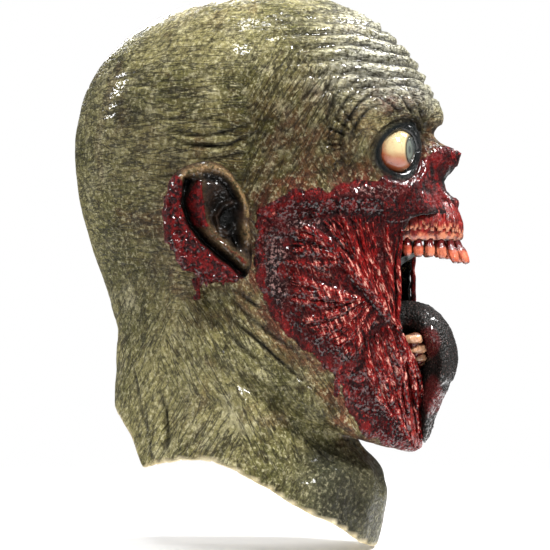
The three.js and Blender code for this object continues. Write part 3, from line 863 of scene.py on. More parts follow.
class Wire:
    """A shader socket that can be calculated with."""

    def __init__(self, shade: "Shade", socket: bpy.types.NodeSocket) -> None:
        """Wraps an output socket of the shade's tree."""
        self.shade = shade
        self.socket = socket

    def _math(self, operation: str, first: Value, second: Value = 0.0, clamp: bool = False) -> "Wire":
        """Adds a Math node."""
        return self.shade.node("Math", {"operation": operation, "use_clamp": clamp}, {0: first, 1: second})

    def __add__(self, other: Value) -> "Wire":
        """The sum."""
        return self._math("ADD", self, other)

    def __radd__(self, other: Value) -> "Wire":
        """The sum."""
        return self._math("ADD", other, self)

    def __sub__(self, other: Value) -> "Wire":
        """The difference."""
        return self._math("SUBTRACT", self, other)

    def __rsub__(self, other: Value) -> "Wire":
        """The reflected difference."""
        return self._math("SUBTRACT", other, self)

    def __mul__(self, other: Value) -> "Wire":
        """The product."""
        return self._math("MULTIPLY", self, other)

    def __rmul__(self, other: Value) -> "Wire":
        """The product."""
        return self._math("MULTIPLY", other, self)

    def clamped(self) -> "Wire":
        """The value held between 0 and 1."""
        return self._math("ADD", self, 0.0, clamp=True)

    def size(self) -> "Wire":
        """The value without its sign."""
        return self._math("ABSOLUTE", self)

    def step(self, low: float, high: float) -> "Wire":
        """A smooth step from 0 at low to 1 at high."""
        settings = {"interpolation_type": "SMOOTHSTEP"}
        if low > high:
            return 1 - self.step(high, low)
        return self.shade.node("MapRange", settings, {"Value": self, "From Min": low, "From Max": high})


class Shade:
    """Builds one material."""

    def __init__(self, name: str) -> None:
        """Starts a material with a principled shader."""
        self.material = bpy.data.materials.new(name)
        self.material.use_nodes = True
        self.tree = self.material.node_tree
        self.shader = self.tree.nodes["Principled BSDF"]
        self.place = self.node("TexCoord", {}, {}, "Object")

    def node(
        self,
        kind: str,
        settings: dict[str, object],
        inputs: dict[Union[str, int], object],
        output: Union[str, int] = 0,
    ) -> Wire:
        """Adds a node.

        Args:
            kind: Its type, without the ShaderNode in front.
            settings: Its own properties, which are set first.
            inputs: Values or wires for its sockets, by name or number.
            output: The output socket that is handed back.

        Returns:
            The wire from that socket.
        """
        made = self.tree.nodes.new("ShaderNode" + kind)
        for name, value in settings.items():
            setattr(made, name, value)
        for name, value in inputs.items():
            self.feed(made.inputs[name], value)
        return Wire(self, made.outputs[output])

    def feed(self, socket: bpy.types.NodeSocket, value: object) -> None:
        """Links a wire to a socket, or sets the socket."""
        if isinstance(value, Wire):
            self.tree.links.new(value.socket, socket)
        else:
            socket.default_value = value

    def value(self, name: str) -> Wire:
        """A number kept at the mesh's points."""
        return self.node("Attribute", {"attribute_name": name}, {}, "Fac")

    def parts(self, name: str) -> tuple[Wire, Wire, Wire]:
        """The three numbers of a vector kept at the mesh's points."""
        vector = self.node("Attribute", {"attribute_name": name}, {}, "Vector")
        made = self.tree.nodes.new("ShaderNodeSeparateXYZ")
        self.feed(made.inputs[0], vector)
        return tuple(Wire(self, socket) for socket in made.outputs)

    def stretched(self, turn: Place, scale: Place) -> Wire:
        """The object's place, turned by angles in degrees and then scaled."""
        turned = self.node(
            "Mapping",
            {"vector_type": "POINT"},
            {"Vector": self.place, "Rotation": tuple(math.radians(angle) for angle in turn)},
        )
        return self.node("VectorMath", {"operation": "MULTIPLY"}, {0: turned, 1: tuple(scale)})

    def along(self, axis: str) -> Wire:
        """The object's place along one axis, in metres."""
        return self.node("SeparateXYZ", {}, {0: self.place}, axis)

    def noise(
        self, scale: float, detail: float = 3, rough: float = 0.55, place: object = None, warp: float = 0
    ) -> Wire:
        """Noise from 0 to 1, in bumps per metre."""
        inputs = {"Vector": place or self.place, "Scale": scale, "Detail": detail, "Roughness": rough}
        return self.node("TexNoise", {}, {**inputs, "Distortion": warp}, "Fac")

    def cells(self, scale: float, feature: str = "DISTANCE_TO_EDGE", place: object = None) -> Wire:
        """The distance of a cell pattern, in cells per metre."""
        inputs = {"Vector": place or self.place, "Scale": scale}
        return self.node("TexVoronoi", {"feature": feature}, inputs, "Distance")

    def mix(self, share: Value, low: object, high: object, blend: str = "MIX") -> Wire:
        """A colour between low and high."""
        settings = {"data_type": "RGBA", "blend_type": blend}
        return self.node("Mix", settings, {0: share, 6: low, 7: high}, 2)

    def bumped(self, height: Wire, distance: float, strength: float = 1.0) -> None:
        """Feeds the normal from a height; distance is in metres."""
        inputs = {"Strength": strength, "Distance": distance, "Height": height}
        self.feed(self.shader.inputs["Normal"], self.node("Bump", {}, inputs, "Normal"))

    def finish(self, colour: Wire, roughness: Value, **constants: object) -> bpy.types.Material:
        """Feeds the shader.

        Args:
            colour: The base colour.
            roughness: The roughness.
            **constants: Other sockets, with underscores for the spaces in their names.

        Returns:
            The material.
        """
        self.feed(self.shader.inputs["Base Color"], colour)
        self.feed(self.shader.inputs["Roughness"], roughness)
        for name, value in constants.items():
            self.feed(self.shader.inputs[name.replace("_", " ")], value)
        return self.material


@dataclass(frozen=True)
class SkinFinish:
    """Painted and varnished latex skin, with torn flesh where the form says so, a painted highlight on the brow and
    painted shade in its hollows.
    """

    pale: Colour = rgb(212, 204, 164)
    olive: Colour = rgb(150, 142, 94)
    frost: Colour = rgb(222, 220, 204)
    moss: Colour = rgb(84, 82, 38)
    earth: Colour = rgb(58, 42, 22)
    umber: Colour = rgb(98, 70, 46)
    ink: Colour = rgb(14, 11, 5)
    blush: Colour = rgb(112, 52, 34)
    slate: Colour = rgb(84, 86, 68)
    night: Colour = rgb(34, 36, 26)
    lid: Colour = rgb(5, 11, 11)
    raw: Colour = rgb(226, 212, 178)

    def creases(self, shade: Shade) -> tuple[Wire, Wire, Wire]:
        """Fine creases that follow the skin's pull.

        Args:
            shade: The material in the making.

        Returns:
            How dark the creases are, the height of the skin between them, and its streaks of paint.
        """
        shares = shade.parts("pull")
        dark: Value = 0.0
        height: Value = 0.0
        tone: Value = 0.0
        for share, angle in zip(shares, CREASE_TURNS):
            fine = shade.noise(1, 4, 0.6, shade.stretched((angle, 0, 0), (170, 110, 620)), 0.35)
            broad = shade.noise(1, 3, 0.5, shade.stretched((angle, 0, 0), (70, 42, 250)), 0.5)
            line = (fine - 0.5).size().step(0.055, 0.012)
            wide = (broad - 0.5).size().step(0.05, 0.01)
            both = line * 0.42 + wide * 0.9
            dark = both * share + dark
            height = (fine * 0.5 + broad * 0.9 - both * 0.55) * share + height
            streak = shade.noise(1, 4, 0.7, shade.stretched((angle, 0, 0), (420, 90, 420)), 0.3)
            tone = (streak - 0.5) * share + tone
        return dark.clamped(), height, tone

    def make(self) -> bpy.types.Material:
        """Makes the material."""
        shade = Shade("skin")
        flesh, blush, slate = shade.parts("zone")
        lid, cavity, raw = shade.parts("stain")
        crease, height, tone = self.creases(shade)
        patch = shade.noise(15, 5, 0.6, warp=0.5)
        moss = shade.noise(70, 5, 0.68, warp=0.3)
        grain = shade.noise(430, 2, 0.6)
        spot = shade.noise(210, 4, 0.7, warp=0.5)
        pores = shade.cells(420, "F1")
        colour = shade.mix(patch.step(0.36, 0.62), self.moss, self.olive)
        colour = shade.mix(moss.step(0.5, 0.74) * 0.55, colour, self.pale)
        colour = shade.mix(shade.noise(30, 5, 0.7, warp=1.0).step(0.52, 0.7) * 0.6, colour, self.earth)
        colour = shade.mix(spot.step(0.48, 0.34) * 0.5, colour, self.earth)
        colour = shade.mix(shade.noise(19, 4, 0.6, warp=0.8).step(0.54, 0.66) * 0.5, colour, self.umber)
        colour = shade.mix(tone.step(-0.03, -0.16) * 0.45, colour, self.earth)
        colour = shade.mix(tone.step(0.04, 0.17) * 0.4, colour, self.pale)
        colour = shade.mix(slate * 0.85, colour, shade.mix(spot.step(0.35, 0.62), self.night, self.slate))
        red_patch = shade.noise(90, 4, 0.6).step(0.34, 0.62)
        colour = shade.mix((blush * (red_patch * 0.8 + 0.2)).clamped(), colour, self.blush)
        colour = shade.mix(grain.step(0.53, 0.66) * 0.45, colour, self.pale)
        colour = shade.mix(grain.step(0.47, 0.33) * 0.5, colour, self.ink)
        # A painted highlight, speckled, on the brow and the front of the forehead.
        ahead = shade.along("Y").step(-0.03, -0.08)
        high = shade.along("Z").step(-0.085, -0.055)
        colour = shade.mix(ahead * high * grain.step(0.3, 0.6) * 0.6, colour, self.frost)
        colour = shade.mix(crease * 0.74, colour, self.ink)
        # The creases' wash, with painted shade in the torn hollows and the broad hollows.
        colour = shade.mix((cavity * 1.1).clamped(), colour, self.ink)
        torn = (flesh + (shade.noise(150, 4, 0.7) - 0.5) * 0.9).step(0.42, 0.58)
        meat = FleshFinish().colour(shade, cavity, patch)
        colour = shade.mix(torn, colour, meat)
        # Black paint on the lids and at the mouth's edge, and painted shade in the nose opening.
        colour = shade.mix((lid * 1.25).clamped(), colour, self.lid)
        inside = shade.mix(shade.noise(90, 4).step(0.3, 0.7), self.raw, rgb(200, 182, 140))
        colour = shade.mix(raw, colour, inside)
        fibres = FleshFinish().relief(shade)
        bump = (height * 0.5 + grain * 0.34 + spot * 0.5 - pores * 0.15) * (1 - torn) + fibres * torn
        shade.bumped(bump * (1 - raw * 0.8), 0.0022, 1.0)
        spark = shade.noise(620, 2).step(0.51, 0.57)
        rough = 0.5 - spot.step(0.5, 0.6) * 0.22 * (1 - torn) + raw * 0.2
        shine = shade.along("Z").step(-0.1, -0.04) * 0.6 + 0.25
        coat = spark * (torn * 0.9 + (1 - torn) * shine) + lid * 0.8
        coat = (coat * (1 - raw)).clamped()
        return shade.finish(colour, rough, Coat_Weight=coat, Coat_Roughness=0.09, Specular_IOR_Level=0.13)


@dataclass(frozen=True)
class FleshFinish:
    """Wet torn muscle, with painted shade in its depths and painted highlights along its fibres."""

    deep: Colour = rgb(24, 2, 3)
    blood: Colour = rgb(92, 9, 10)
    bright: Colour = rgb(146, 20, 17)
    pink: Colour = rgb(196, 104, 88)
    pale: Colour = rgb(226, 170, 152)
    dark: Colour = rgb(14, 8, 8)

    def relief(self, shade: Shade) -> Wire:
        """The height of fine fibres and clots."""
        fibres = shade.noise(1, 2, 0.5, shade.stretched((8, 0, 0), (380, 380, 90)), 0.6)
        return fibres * 1.1 + shade.noise(300, 2, 0.6) * 0.7 + shade.noise(700, 2, 0.6) * 0.45

    def colour(self, shade: Shade, cavity: Value, patch: Wire) -> Wire:
        """The colour, with painted shade where the flesh lies deep, and a broad patch noise."""
        clot = shade.noise(120, 4, 0.65, warp=0.8)
        fine = shade.noise(460, 3, 0.7)
        colour = shade.mix(clot.step(0.36, 0.62), self.deep, self.blood)
        colour = shade.mix(fine.step(0.52, 0.68) * 0.75, colour, self.bright)
        colour = shade.mix(shade.noise(330, 4, 0.7, warp=0.4).step(0.6, 0.7) * 0.6, colour, self.pink)
        colour = shade.mix(patch.step(0.5, 0.7) * 0.5, colour, self.dark)
        # Painted shade where the flesh lies deep.
        return shade.mix(cavity, colour, self.dark)

    def make(self) -> bpy.types.Material:
        """Makes the material of a flesh piece, with the painted shade of its depths, its fibres, which carry painted
        highlights, and its tissue at the points.
        """
        shade = Shade("flesh")
        cavity, strand, tissue = shade.parts("meat")
        patch = shade.noise(34, 4, 0.6)
        colour = self.colour(shade, 0.0, patch)
        streak = shade.noise(1, 4, 0.65, shade.stretched((20, 0, 0), (500, 500, 110)), 0.4)
        # Bright red, pale and dark streaks along the fibres: the pale ones are painted highlights, the dark ones
        # painted shade between the fibres.
        colour = shade.mix(strand * streak.step(0.44, 0.6) * 0.7, colour, self.bright)
        colour = shade.mix(strand * streak.step(0.57, 0.64) * 0.75, colour, self.pale)
        colour = shade.mix(strand * streak.step(0.48, 0.4) * 0.9, colour, self.deep)
        speck = shade.noise(480, 3, 0.7)
        grey = shade.mix(speck.step(0.5, 0.62), rgb(26, 6, 7), rgb(164, 132, 126))
        colour = shade.mix((tissue * 1.1 + (speck - 0.5) * 0.9).step(0.4, 0.9), colour, grey)
        # Painted shade where the flesh lies deep.
        hollow = shade.mix(speck.step(0.5, 0.66) * 0.8, rgb(18, 2, 3), self.blood)
        colour = shade.mix((cavity * 1.15).clamped(), colour, hollow)
        shade.bumped(self.relief(shade) + streak * 0.7, 0.0017, 1.0)
        spark = shade.noise(620, 2).step(0.52, 0.57)
        return shade.finish(colour, 0.5, Coat_Weight=spark, Coat_Roughness=0.07, Specular_IOR_Level=0.08)


@dataclass(frozen=True)
class EarFinish:
    """The ear's skin: tan at the top, dark and red where it is torn, with painted shade in its groove, bowl and canal.
    """

    tan: Colour = rgb(132, 104, 70)
    olive: Colour = rgb(74, 66, 38)
    brown: Colour = rgb(46, 30, 20)
    black: Colour = rgb(5, 5, 4)
    gore: Colour = rgb(88, 8, 10)

    def make(self) -> bpy.types.Material:
        """Makes the material."""
        shade = Shade("ear_skin")
        cavity, torn, top = shade.parts("lobe")
        patch = shade.noise(90, 5, 0.65, warp=0.5)
        grain = shade.noise(520, 3, 0.7)
        blotch = shade.noise(240, 4, 0.7, warp=0.6)
        colour = shade.mix(patch.step(0.35, 0.65), self.black, self.brown)
        light = shade.mix(blotch.step(0.4, 0.58), self.olive, self.tan)
        colour = shade.mix((top * (0.4 + patch)).clamped(), colour, light)
        colour = shade.mix(grain.step(0.52, 0.66) * 0.5 * top, colour, rgb(176, 148, 112))
        colour = shade.mix(grain.step(0.46, 0.34) * 0.7, colour, self.black)
        mask = (torn + (blotch - 0.5) * 0.8).step(0.3, 0.5)
        gore = shade.mix(blotch.step(0.44, 0.58), rgb(24, 2, 3), self.gore)
        gore = shade.mix(grain.step(0.56, 0.66) * 0.6, gore, rgb(138, 22, 18))
        colour = shade.mix(mask, colour, gore)
        # Painted shade in the ear's hollows.
        colour = shade.mix((cavity * 1.1).clamped(), colour, self.black)
        shade.bumped(grain * 0.7 + patch * 0.5 + blotch * mask, 0.0015, 1.0)
        spark = shade.noise(560, 2).step(0.52, 0.58)
        rough, coat = 0.5 - cavity * 0.26, spark * 0.9
        return shade.finish(colour, rough, Coat_Weight=coat, Coat_Roughness=0.08, Specular_IOR_Level=0.1)


@dataclass(frozen=True)
class GumFinish:
    """Gum flesh and bone ridge."""

    bone: Colour = rgb(206, 132, 98)
    red: Colour = rgb(140, 24, 18)

    def make(self) -> bpy.types.Material:
        """Makes the material."""
        shade = Shade("gum")
        ridge, cavity, _ = shade.parts("ridge")
        clot = shade.noise(170, 4, 0.65, warp=0.6)
        fine = shade.noise(480, 3, 0.7)
        colour = shade.mix(clot.step(0.35, 0.6), rgb(60, 8, 8), self.red)
        colour = shade.mix(fine.step(0.52, 0.7) * 0.6, colour, rgb(206, 92, 74))
        colour = shade.mix((ridge + (clot - 0.5) * 1.2).step(0.4, 0.85) * 0.9, colour, self.bone)
        # Painted shade in the pits.
        colour = shade.mix((cavity * 0.9).clamped(), colour, rgb(30, 6, 6))
        shade.bumped(clot * 0.8 + fine * 0.4, 0.0009)
        return shade.finish(colour, 0.26 + fine * 0.12, Coat_Weight=0.5, Coat_Roughness=0.1)


@dataclass(frozen=True)
class ToothFinish:
    """A stained tooth: cream at the belly, orange and red at the neck and the edges."""

    cream: Colour = rgb(226, 182, 140)
    rust: Colour = rgb(158, 52, 34)
    blood: Colour = rgb(86, 10, 10)

    def make(self) -> bpy.types.Material:
        """Makes the material."""
        shade = Shade("tooth")
        neck, edge, clean = shade.parts("crown")
        patch = shade.noise(170, 4, 0.6, warp=0.5)
        fine = shade.noise(700, 3, 0.6)
        streak = shade.noise(1, 3, 0.6, shade.stretched((0, 0, 0), (900, 900, 160)))
        body = shade.mix(clean, shade.mix(patch.step(0.4, 0.62), self.rust, rgb(206, 104, 74)), self.cream)
        colour = shade.mix(streak.step(0.5, 0.66) * 0.4, body, self.rust)
        colour = shade.mix((neck + (patch - 0.5) * 0.7).step(0.35, 0.75), colour, self.blood)
        colour = shade.mix((edge + (fine - 0.5) * 0.5).step(0.5, 0.95) * 0.85, colour, rgb(66, 14, 10))
        shade.bumped(patch * 0.5 + streak * 0.4 + fine * 0.2, 0.0005)
        return shade.finish(colour, 0.2 + fine * 0.16, Coat_Weight=0.6, Coat_Roughness=0.08)


@dataclass(frozen=True)
class TongueFinish:
    """A wet rotten tongue, black with dull red lobes."""

    black: Colour = rgb(22, 20, 18)
    red: Colour = rgb(96, 26, 26)

    def make(self) -> bpy.types.Material:
        """Makes the material."""
        shade = Shade("tongue")
        lobe, cavity, _ = shade.parts("papilla")
        bud = shade.cells(640, "F1")
        patch = shade.noise(70, 4, 0.6, warp=0.4)
        fine = shade.noise(800, 2, 0.6)
        colour = shade.mix((lobe + (patch - 0.5) * 0.7).step(0.35, 0.75), self.black, self.red)
        colour = shade.mix(bud.step(0.2, 0.5) * 0.55, colour, self.black)
        colour = shade.mix(fine.step(0.58, 0.7) * 0.5, colour, rgb(130, 100, 94))
        # Painted shade in the tongue's crease and groove.
        colour = shade.mix(cavity, colour, rgb(8, 6, 6))
        shade.bumped(0.6 - bud + fine * 0.2, 0.0009)
        coat = shade.noise(420, 2).step(0.5, 0.57) * 0.9
        return shade.finish(colour, 0.5, Coat_Weight=coat, Coat_Roughness=0.12, Specular_IOR_Level=0.14)


@dataclass(frozen=True)
class DarkFinish:
    """Dark wet latex behind the mouth, with a cold sheen."""

    name: str
    deep: Colour = rgb(4, 12, 11)
    rise: Colour = rgb(34, 48, 44)
    grain: float = 260

    def make(self) -> bpy.types.Material:
        """Makes the material."""
        shade = Shade(self.name)
        patch = shade.noise(60, 4, 0.6, warp=0.6)
        fine = shade.noise(self.grain, 3, 0.65)
        colour = shade.mix((patch * 0.6 + fine * 0.4).step(0.4, 0.66), self.deep, self.rise)
        shade.bumped(fine * 0.7 + patch, 0.0009)
        coat = fine.step(0.5, 0.6) * 0.6
        return shade.finish(colour, 0.4, Coat_Weight=coat, Coat_Roughness=0.1, Specular_IOR_Level=0.2)


@dataclass(frozen=True)
class BallFinish:
    """A yellowed eyeball with small veins, bloodshot towards its back and its lower edge."""

    cream: Colour = rgb(206, 186, 140)
    amber: Colour = rgb(166, 84, 50)

    def make(self) -> bpy.types.Material:
        """Makes the material."""
        shade = Shade("sclera")
        rear, low, rim = shade.parts("ball")
        patch = shade.noise(90, 4, 0.6)
        vein = shade.noise(210, 5, 0.6, warp=1.4) - 0.5
        thread = vein.size().step(0.018, 0.0)
        colour = shade.mix(((rear + low * 0.7) + (patch - 0.5) * 0.5).step(0.2, 0.9), self.cream, self.amber)
        colour = shade.mix(thread * (0.18 + rear * 0.6), colour, rgb(150, 34, 22))
        colour = shade.mix((rear + (patch - 0.5) * 0.4).step(0.8, 1.15), colour, rgb(52, 20, 14))
        colour = shade.mix(rim * 0.92, colour, rgb(12, 15, 12))
        shade.bumped(patch * 0.4 + thread * 0.3, 0.0003)
        return shade.finish(colour, 0.1 + patch * 0.05, Coat_Weight=0.6, Coat_Roughness=0.04)


@dataclass(frozen=True)
class IrisFinish:
    """A pale clouded iris with a dark outer ring and a small pupil."""

    pale: Colour = rgb(122, 130, 112)
    ring: Colour = rgb(8, 10, 8)

    def make(self) -> bpy.types.Material:
        """Makes the material."""
        shade = Shade("iris")
        out, angle, _ = shade.parts("disc")
        spoke = shade.node("CombineXYZ", {}, {0: angle * 22.0, 1: out * 2.2, 2: 0.0})
        fibre = shade.noise(1, 3, 0.6, spoke)
        colour = shade.mix(fibre.step(0.35, 0.68), rgb(96, 104, 90), self.pale)
        colour = shade.mix(out.step(0.42, 0.3) * 0.7, colour, rgb(150, 142, 98))
        colour = shade.mix(out.step(0.7, 0.86), colour, self.ring)
        colour = shade.mix((out + (fibre - 0.5) * 0.04).step(0.36, 0.32), colour, rgb(4, 4, 4))
        shade.bumped(fibre, 0.0004)
        return shade.finish(colour, 0.3 + fibre * 0.1, Coat_Weight=0.6, Coat_Roughness=0.05)


@dataclass(frozen=True)
class CorneaFinish:
    """Clear resin over the iris."""

    def make(self) -> bpy.types.Material:
        """Makes the material."""
        shade = Shade("cornea")
        haze = shade.noise(300, 2, 0.5)
        colour = shade.mix(haze, (0.3, 0.34, 0.33, 1), (0.24, 0.28, 0.27, 1))
        return shade.finish(colour, 0.02 + haze * 0.04, Alpha=0.1, Specular_IOR_Level=1.0)


@dataclass(frozen=True)
class RawLatexFinish:
    """Unpainted latex, cream with brush marks."""

    def make(self) -> bpy.types.Material:
        """Makes the material."""
        shade = Shade("raw_latex")
        brush = shade.noise(1, 4, 0.6, shade.stretched((0, 0, 0), (260, 260, 40)), 0.4)
        patch = shade.noise(50, 4, 0.6)
        share = (brush * 0.5 + patch * 0.5).step(0.35, 0.65)
        colour = shade.mix(share, rgb(196, 176, 134), rgb(232, 220, 188))
        shade.bumped(brush + patch * 0.4, 0.0006)
        return shade.finish(colour, 0.46 + patch * 0.14, Coat_Weight=0.1)


# ------------------------------------------------------------------ the hood

# The torn edge of the raw flesh, on the drawing plane.
FLESH_EDGE = (
    (-2, -141), (18, -127), (44, -124), (62, -119), (74, -118), (86, -119), (95, -112), (104, -104),
    (110, -97), (160, -94), (160, -300), (103, -297), (92, -291), (78, -288), (66, -280), (57, -266),
    (49, -246), (37, -233), (22, -222), (6, -204), (-2, -188), (-6, -168), (-4, -152),
)  # fmt: skip

# Broad dark patches on the skin: dark paint, and painted shade in the hollows round the eyes and temples, under the
# jaw, over the collar and on the bib: (along, height, wide, tall, share).
WASHES_AND_SHADE = (
    (22, -92, 34, 26, 0.46), (99, -88, 9, 12, 0.8), (80, -76, 17, 11, 0.35), (60, -104, 16, 16, 0.3),
    (-98, -100, 34, 60, 0.18), (-92, -190, 26, 60, 0.2), (-66, -170, 12, 34, 0.35), (-58, -112, 16, 22, 0.3),
    (8, -196, 16, 16, 0.3), (40, -293, 16, 10, 0.75), (62, -284, 18, 6, 0.7), (58, -322, 32, 40, 0.7),
    (-22, -118, 26, 8, 0.5), (20, -246, 14, 30, 0.35), (34, -262, 26, 10, 0.4), (-20, -250, 10, 36, 0.25),
    (-48, -240, 9, 44, 0.25), (112, -100, 8, 8, 0.5), (-4, -150, 9, 30, 0.5), (96, -66, 9, 12, 0.3),
    (36, -276, 22, 8, 0.35),
)  # fmt: skip

# The way the skin's fine creases run: a point of the drawing plane, and an angle in degrees.
PULL = (
    (-95, -55, 12), (-60, -20, 30), (0, -8, 25), (50, -20, 12), (90, -50, -18), (25, -70, 62),
    (10, -100, 78), (45, -115, 100), (-30, -95, -12), (-70, -90, 6), (-105, -110, 14), (-95, -160, 20),
    (-85, -200, 40), (-10, -205, -42), (-35, -230, -50), (5, -240, -35), (-78, -260, 84), (-40, -280, 62),
    (20, -270, -38), (60, -320, 88), (30, -320, 70), (75, -40, 6), (60, -70, 24),
)  # fmt: skip


def pull_angle(flat: np.ndarray) -> np.ndarray:
    """The direction of the fine creases, in radians, at points of the drawing plane."""
    total = np.zeros(flat.shape[:-1] + (2,))
    for along, height, angle in PULL:
        weight = 1 / (60 + np.sum((flat - np.array([along, height])) ** 2, axis=-1)) ** 1.4
        turned = math.radians(2 * angle)
        total += weight[..., None] * np.array([math.cos(turned), math.sin(turned)])
    return np.arctan2(total[..., 1], total[..., 0]) / 2


@dataclass
class Hood:
    """The slip-cast latex skin, with its wrinkles, its cut openings and its raw edge."""

    form: HeadForm
    eye: "Eye"
    wall: float = 2.4
    face_turn: float = math.radians(72)
    face_columns: int = 200
    back_columns: int = 150
    rows: int = 226
    brow_heights: tuple[float, ...] = (-15, -22, -30, -38.5, -47, -56, -64.5)
    eye_corner: tuple[float, float] = (63, -98)
    crow_feet: int = 30
    fine_creases: int = 470
    hidden_depth: float = 4.0  # the lining is made coarser where it is this far from an edge
    hidden_share: float = 0.24
    nostril: tuple[float, float, float] = (0, 121, -119)
    nostril_size: tuple[float, float, float] = (5.2, 9, 4.4)
    hem: tuple[tuple[float, float], ...] = (
        (-130, -226), (-112, -244), (-100, -261), (-88, -271), (-78, -282), (-72, -294), (-68, -301),
        (-62, -299), (-52, -296), (-36, -294), (-20, -295), (-8, -299), (4, -305), (17, -312), (30, -321),
        (42, -328), (54, -334), (68, -346), (76, -355), (100, -356),
    )  # fmt: skip
    mouth: tuple[tuple[float, float], ...] = (
        (170, -138), (120, -139), (103, -142), (96, -152), (93, -168), (92, -185), (94, -203), (98, -220),
        (102, -234), (106, -241), (170, -243),
    )  # fmt: skip
    arcs: tuple[tuple[float, float, float, float], ...] = (
        (27, 100, 196, 1.2), (33, 84, 205, 1.3), (40, 96, 190, 1.1), (47, 100, 184, 1.0),
        (55, 104, 178, 0.8), (64, 112, 168, 0.7),
    )  # fmt: skip
    deep_lines: tuple[tuple[tuple[float, float], ...], ...] = (
        ((88, -61), (95, -66), (100, -74), (103, -84)),
        ((80, -60), (88, -68), (94, -78), (99, -86)),
        ((70, -66), (80, -72), (90, -80)),
        ((66, -120), (78, -124), (90, -122), (97, -114)),
        ((64, -114), (76, -119), (88, -118)),
        ((-54, -96), (-40, -100), (-22, -98), (-6, -92), (6, -94)),
        ((-60, -88), (-42, -92), (-24, -90), (-4, -84), (12, -86)),
        ((-46, -104), (-30, -108), (-14, -104), (-2, -106)),
        ((-24, -190), (-12, -202), (4, -214), (20, -226), (36, -238)),
        ((-28, -198), (-16, -210), (0, -222), (18, -236), (34, -250)),
        ((-30, -208), (-18, -220), (-4, -232), (12, -246)),
        ((-20, -186), (-6, -196), (8, -206)),
        ((-75, -258), (-73, -272), (-70, -288), (-67, -300)),
        ((-66, -250), (-62, -268), (-60, -290)),
        ((-86, -232), (-80, -250), (-76, -268)),
        ((46, -288), (54, -281), (64, -278), (74, -281), (80, -288)),
        ((26, -280), (36, -290), (48, -298), (56, -300)),
        ((30, -262), (44, -274), (60, -286), (76, -294)),
    )
    drips: tuple[tuple[tuple[float, float], ...], ...] = (
        ((46, -232), (47, -244), (46, -258)),
        ((52, -238), (54, -250), (58, -266), (64, -276)),
        ((60, -252), (63, -268)),
        ((-42, -182), (-41, -190), (-42, -196)),
    )
    veins: tuple[tuple[tuple[float, float], ...], ...] = (
        ((24, -46), (14, -56), (4, -70), (-2, -82), (-5, -94)),
        ((22, -48), (30, -60), (32, -74)),
    )

    def turns(self) -> np.ndarray:
        """The grid's angles, closer together over the face."""
        face = np.linspace(-self.face_turn, self.face_turn, self.face_columns, endpoint=False)
        back = np.linspace(self.face_turn, 2 * math.pi - self.face_turn, self.back_columns, endpoint=False)
        return np.concatenate([face, back])

    def levels(self) -> np.ndarray:
        """The grid's levels, evenly spaced along the form and closer together over the face."""
        level = np.linspace(0.035, TOP_LEVEL, 800)
        paths = [spline(line, level) for line in (self.form.front, self.form.side)]
        steps = sum(np.linalg.norm(np.diff(path, axis=0), axis=1) for path in paths)
        middle = (level[1:] + level[:-1]) / 2
        face = smooth(level_of("under_jaw"), level_of("chin_front"), middle) * smooth(
            level_of("upper_skull"), level_of("hairline"), middle
        )
        steps = steps * (1 + 0.9 * face)
        place = np.concatenate([[0], np.cumsum(steps)])
        return np.interp(np.linspace(0, place[-1], self.rows), place, level)

    def funnel(self, points: np.ndarray, normals: np.ndarray) -> np.ndarray:
        """Sinks the torn nose's opening into the form."""
        offset = (points - np.array(self.nostril)) / (np.array(self.nostril_size) * 1.5)
        sink = np.exp(-np.sum(offset[..., (0, 2)] ** 2, axis=-1)) * (points[..., 1] > 100)
        return points - 6.5 * sink[..., None] * normals

    def brow_lines(self, points: np.ndarray, turn: np.ndarray) -> list[Furrow]:
        """The deep wavy wrinkles across the forehead."""
        made = []
        rng = np.random.default_rng(21)
        for index, centre in enumerate(self.brow_heights):
            reach = math.radians(rng.uniform(62, 80))
            picks = np.flatnonzero(np.abs(turn) < reach)[::5]
            phase, wave = rng.uniform(0, 6), rng.uniform(3.4, 5.2)
            line = []
            for column in picks:
                angle = turn[column]
                arch = 4.5 * math.sin(abs(angle) * 2.6) - 2.0 * abs(angle)
                ripple = 1.5 * math.sin(wave * angle + phase)
                height = centre + arch + ripple + 0.8 * math.sin(11 * angle + index)
                heights = points[:, column, 2]
                row = np.interp(height, heights[-130:], np.arange(len(heights) - 130, len(heights)))
                low = int(row)
                high = min(low + 1, len(heights) - 1)
                line.append(points[low, column] * (low + 1 - row) + points[high, column] * (row - low))
            made.append(Furrow(np.array(line), rng.uniform(1.5, 2.0), rng.uniform(1.6, 2.2), 0.7))
            middle = len(line) // 2
            cut = rng.integers(3, 9)
            piece = np.array(line[middle - 14 : middle - 14 + int(cut)]) - np.array([0, 0, 3.6])
            if len(piece) > 2:
                made.append(Furrow(piece, 1.0, 0.8))
        return made

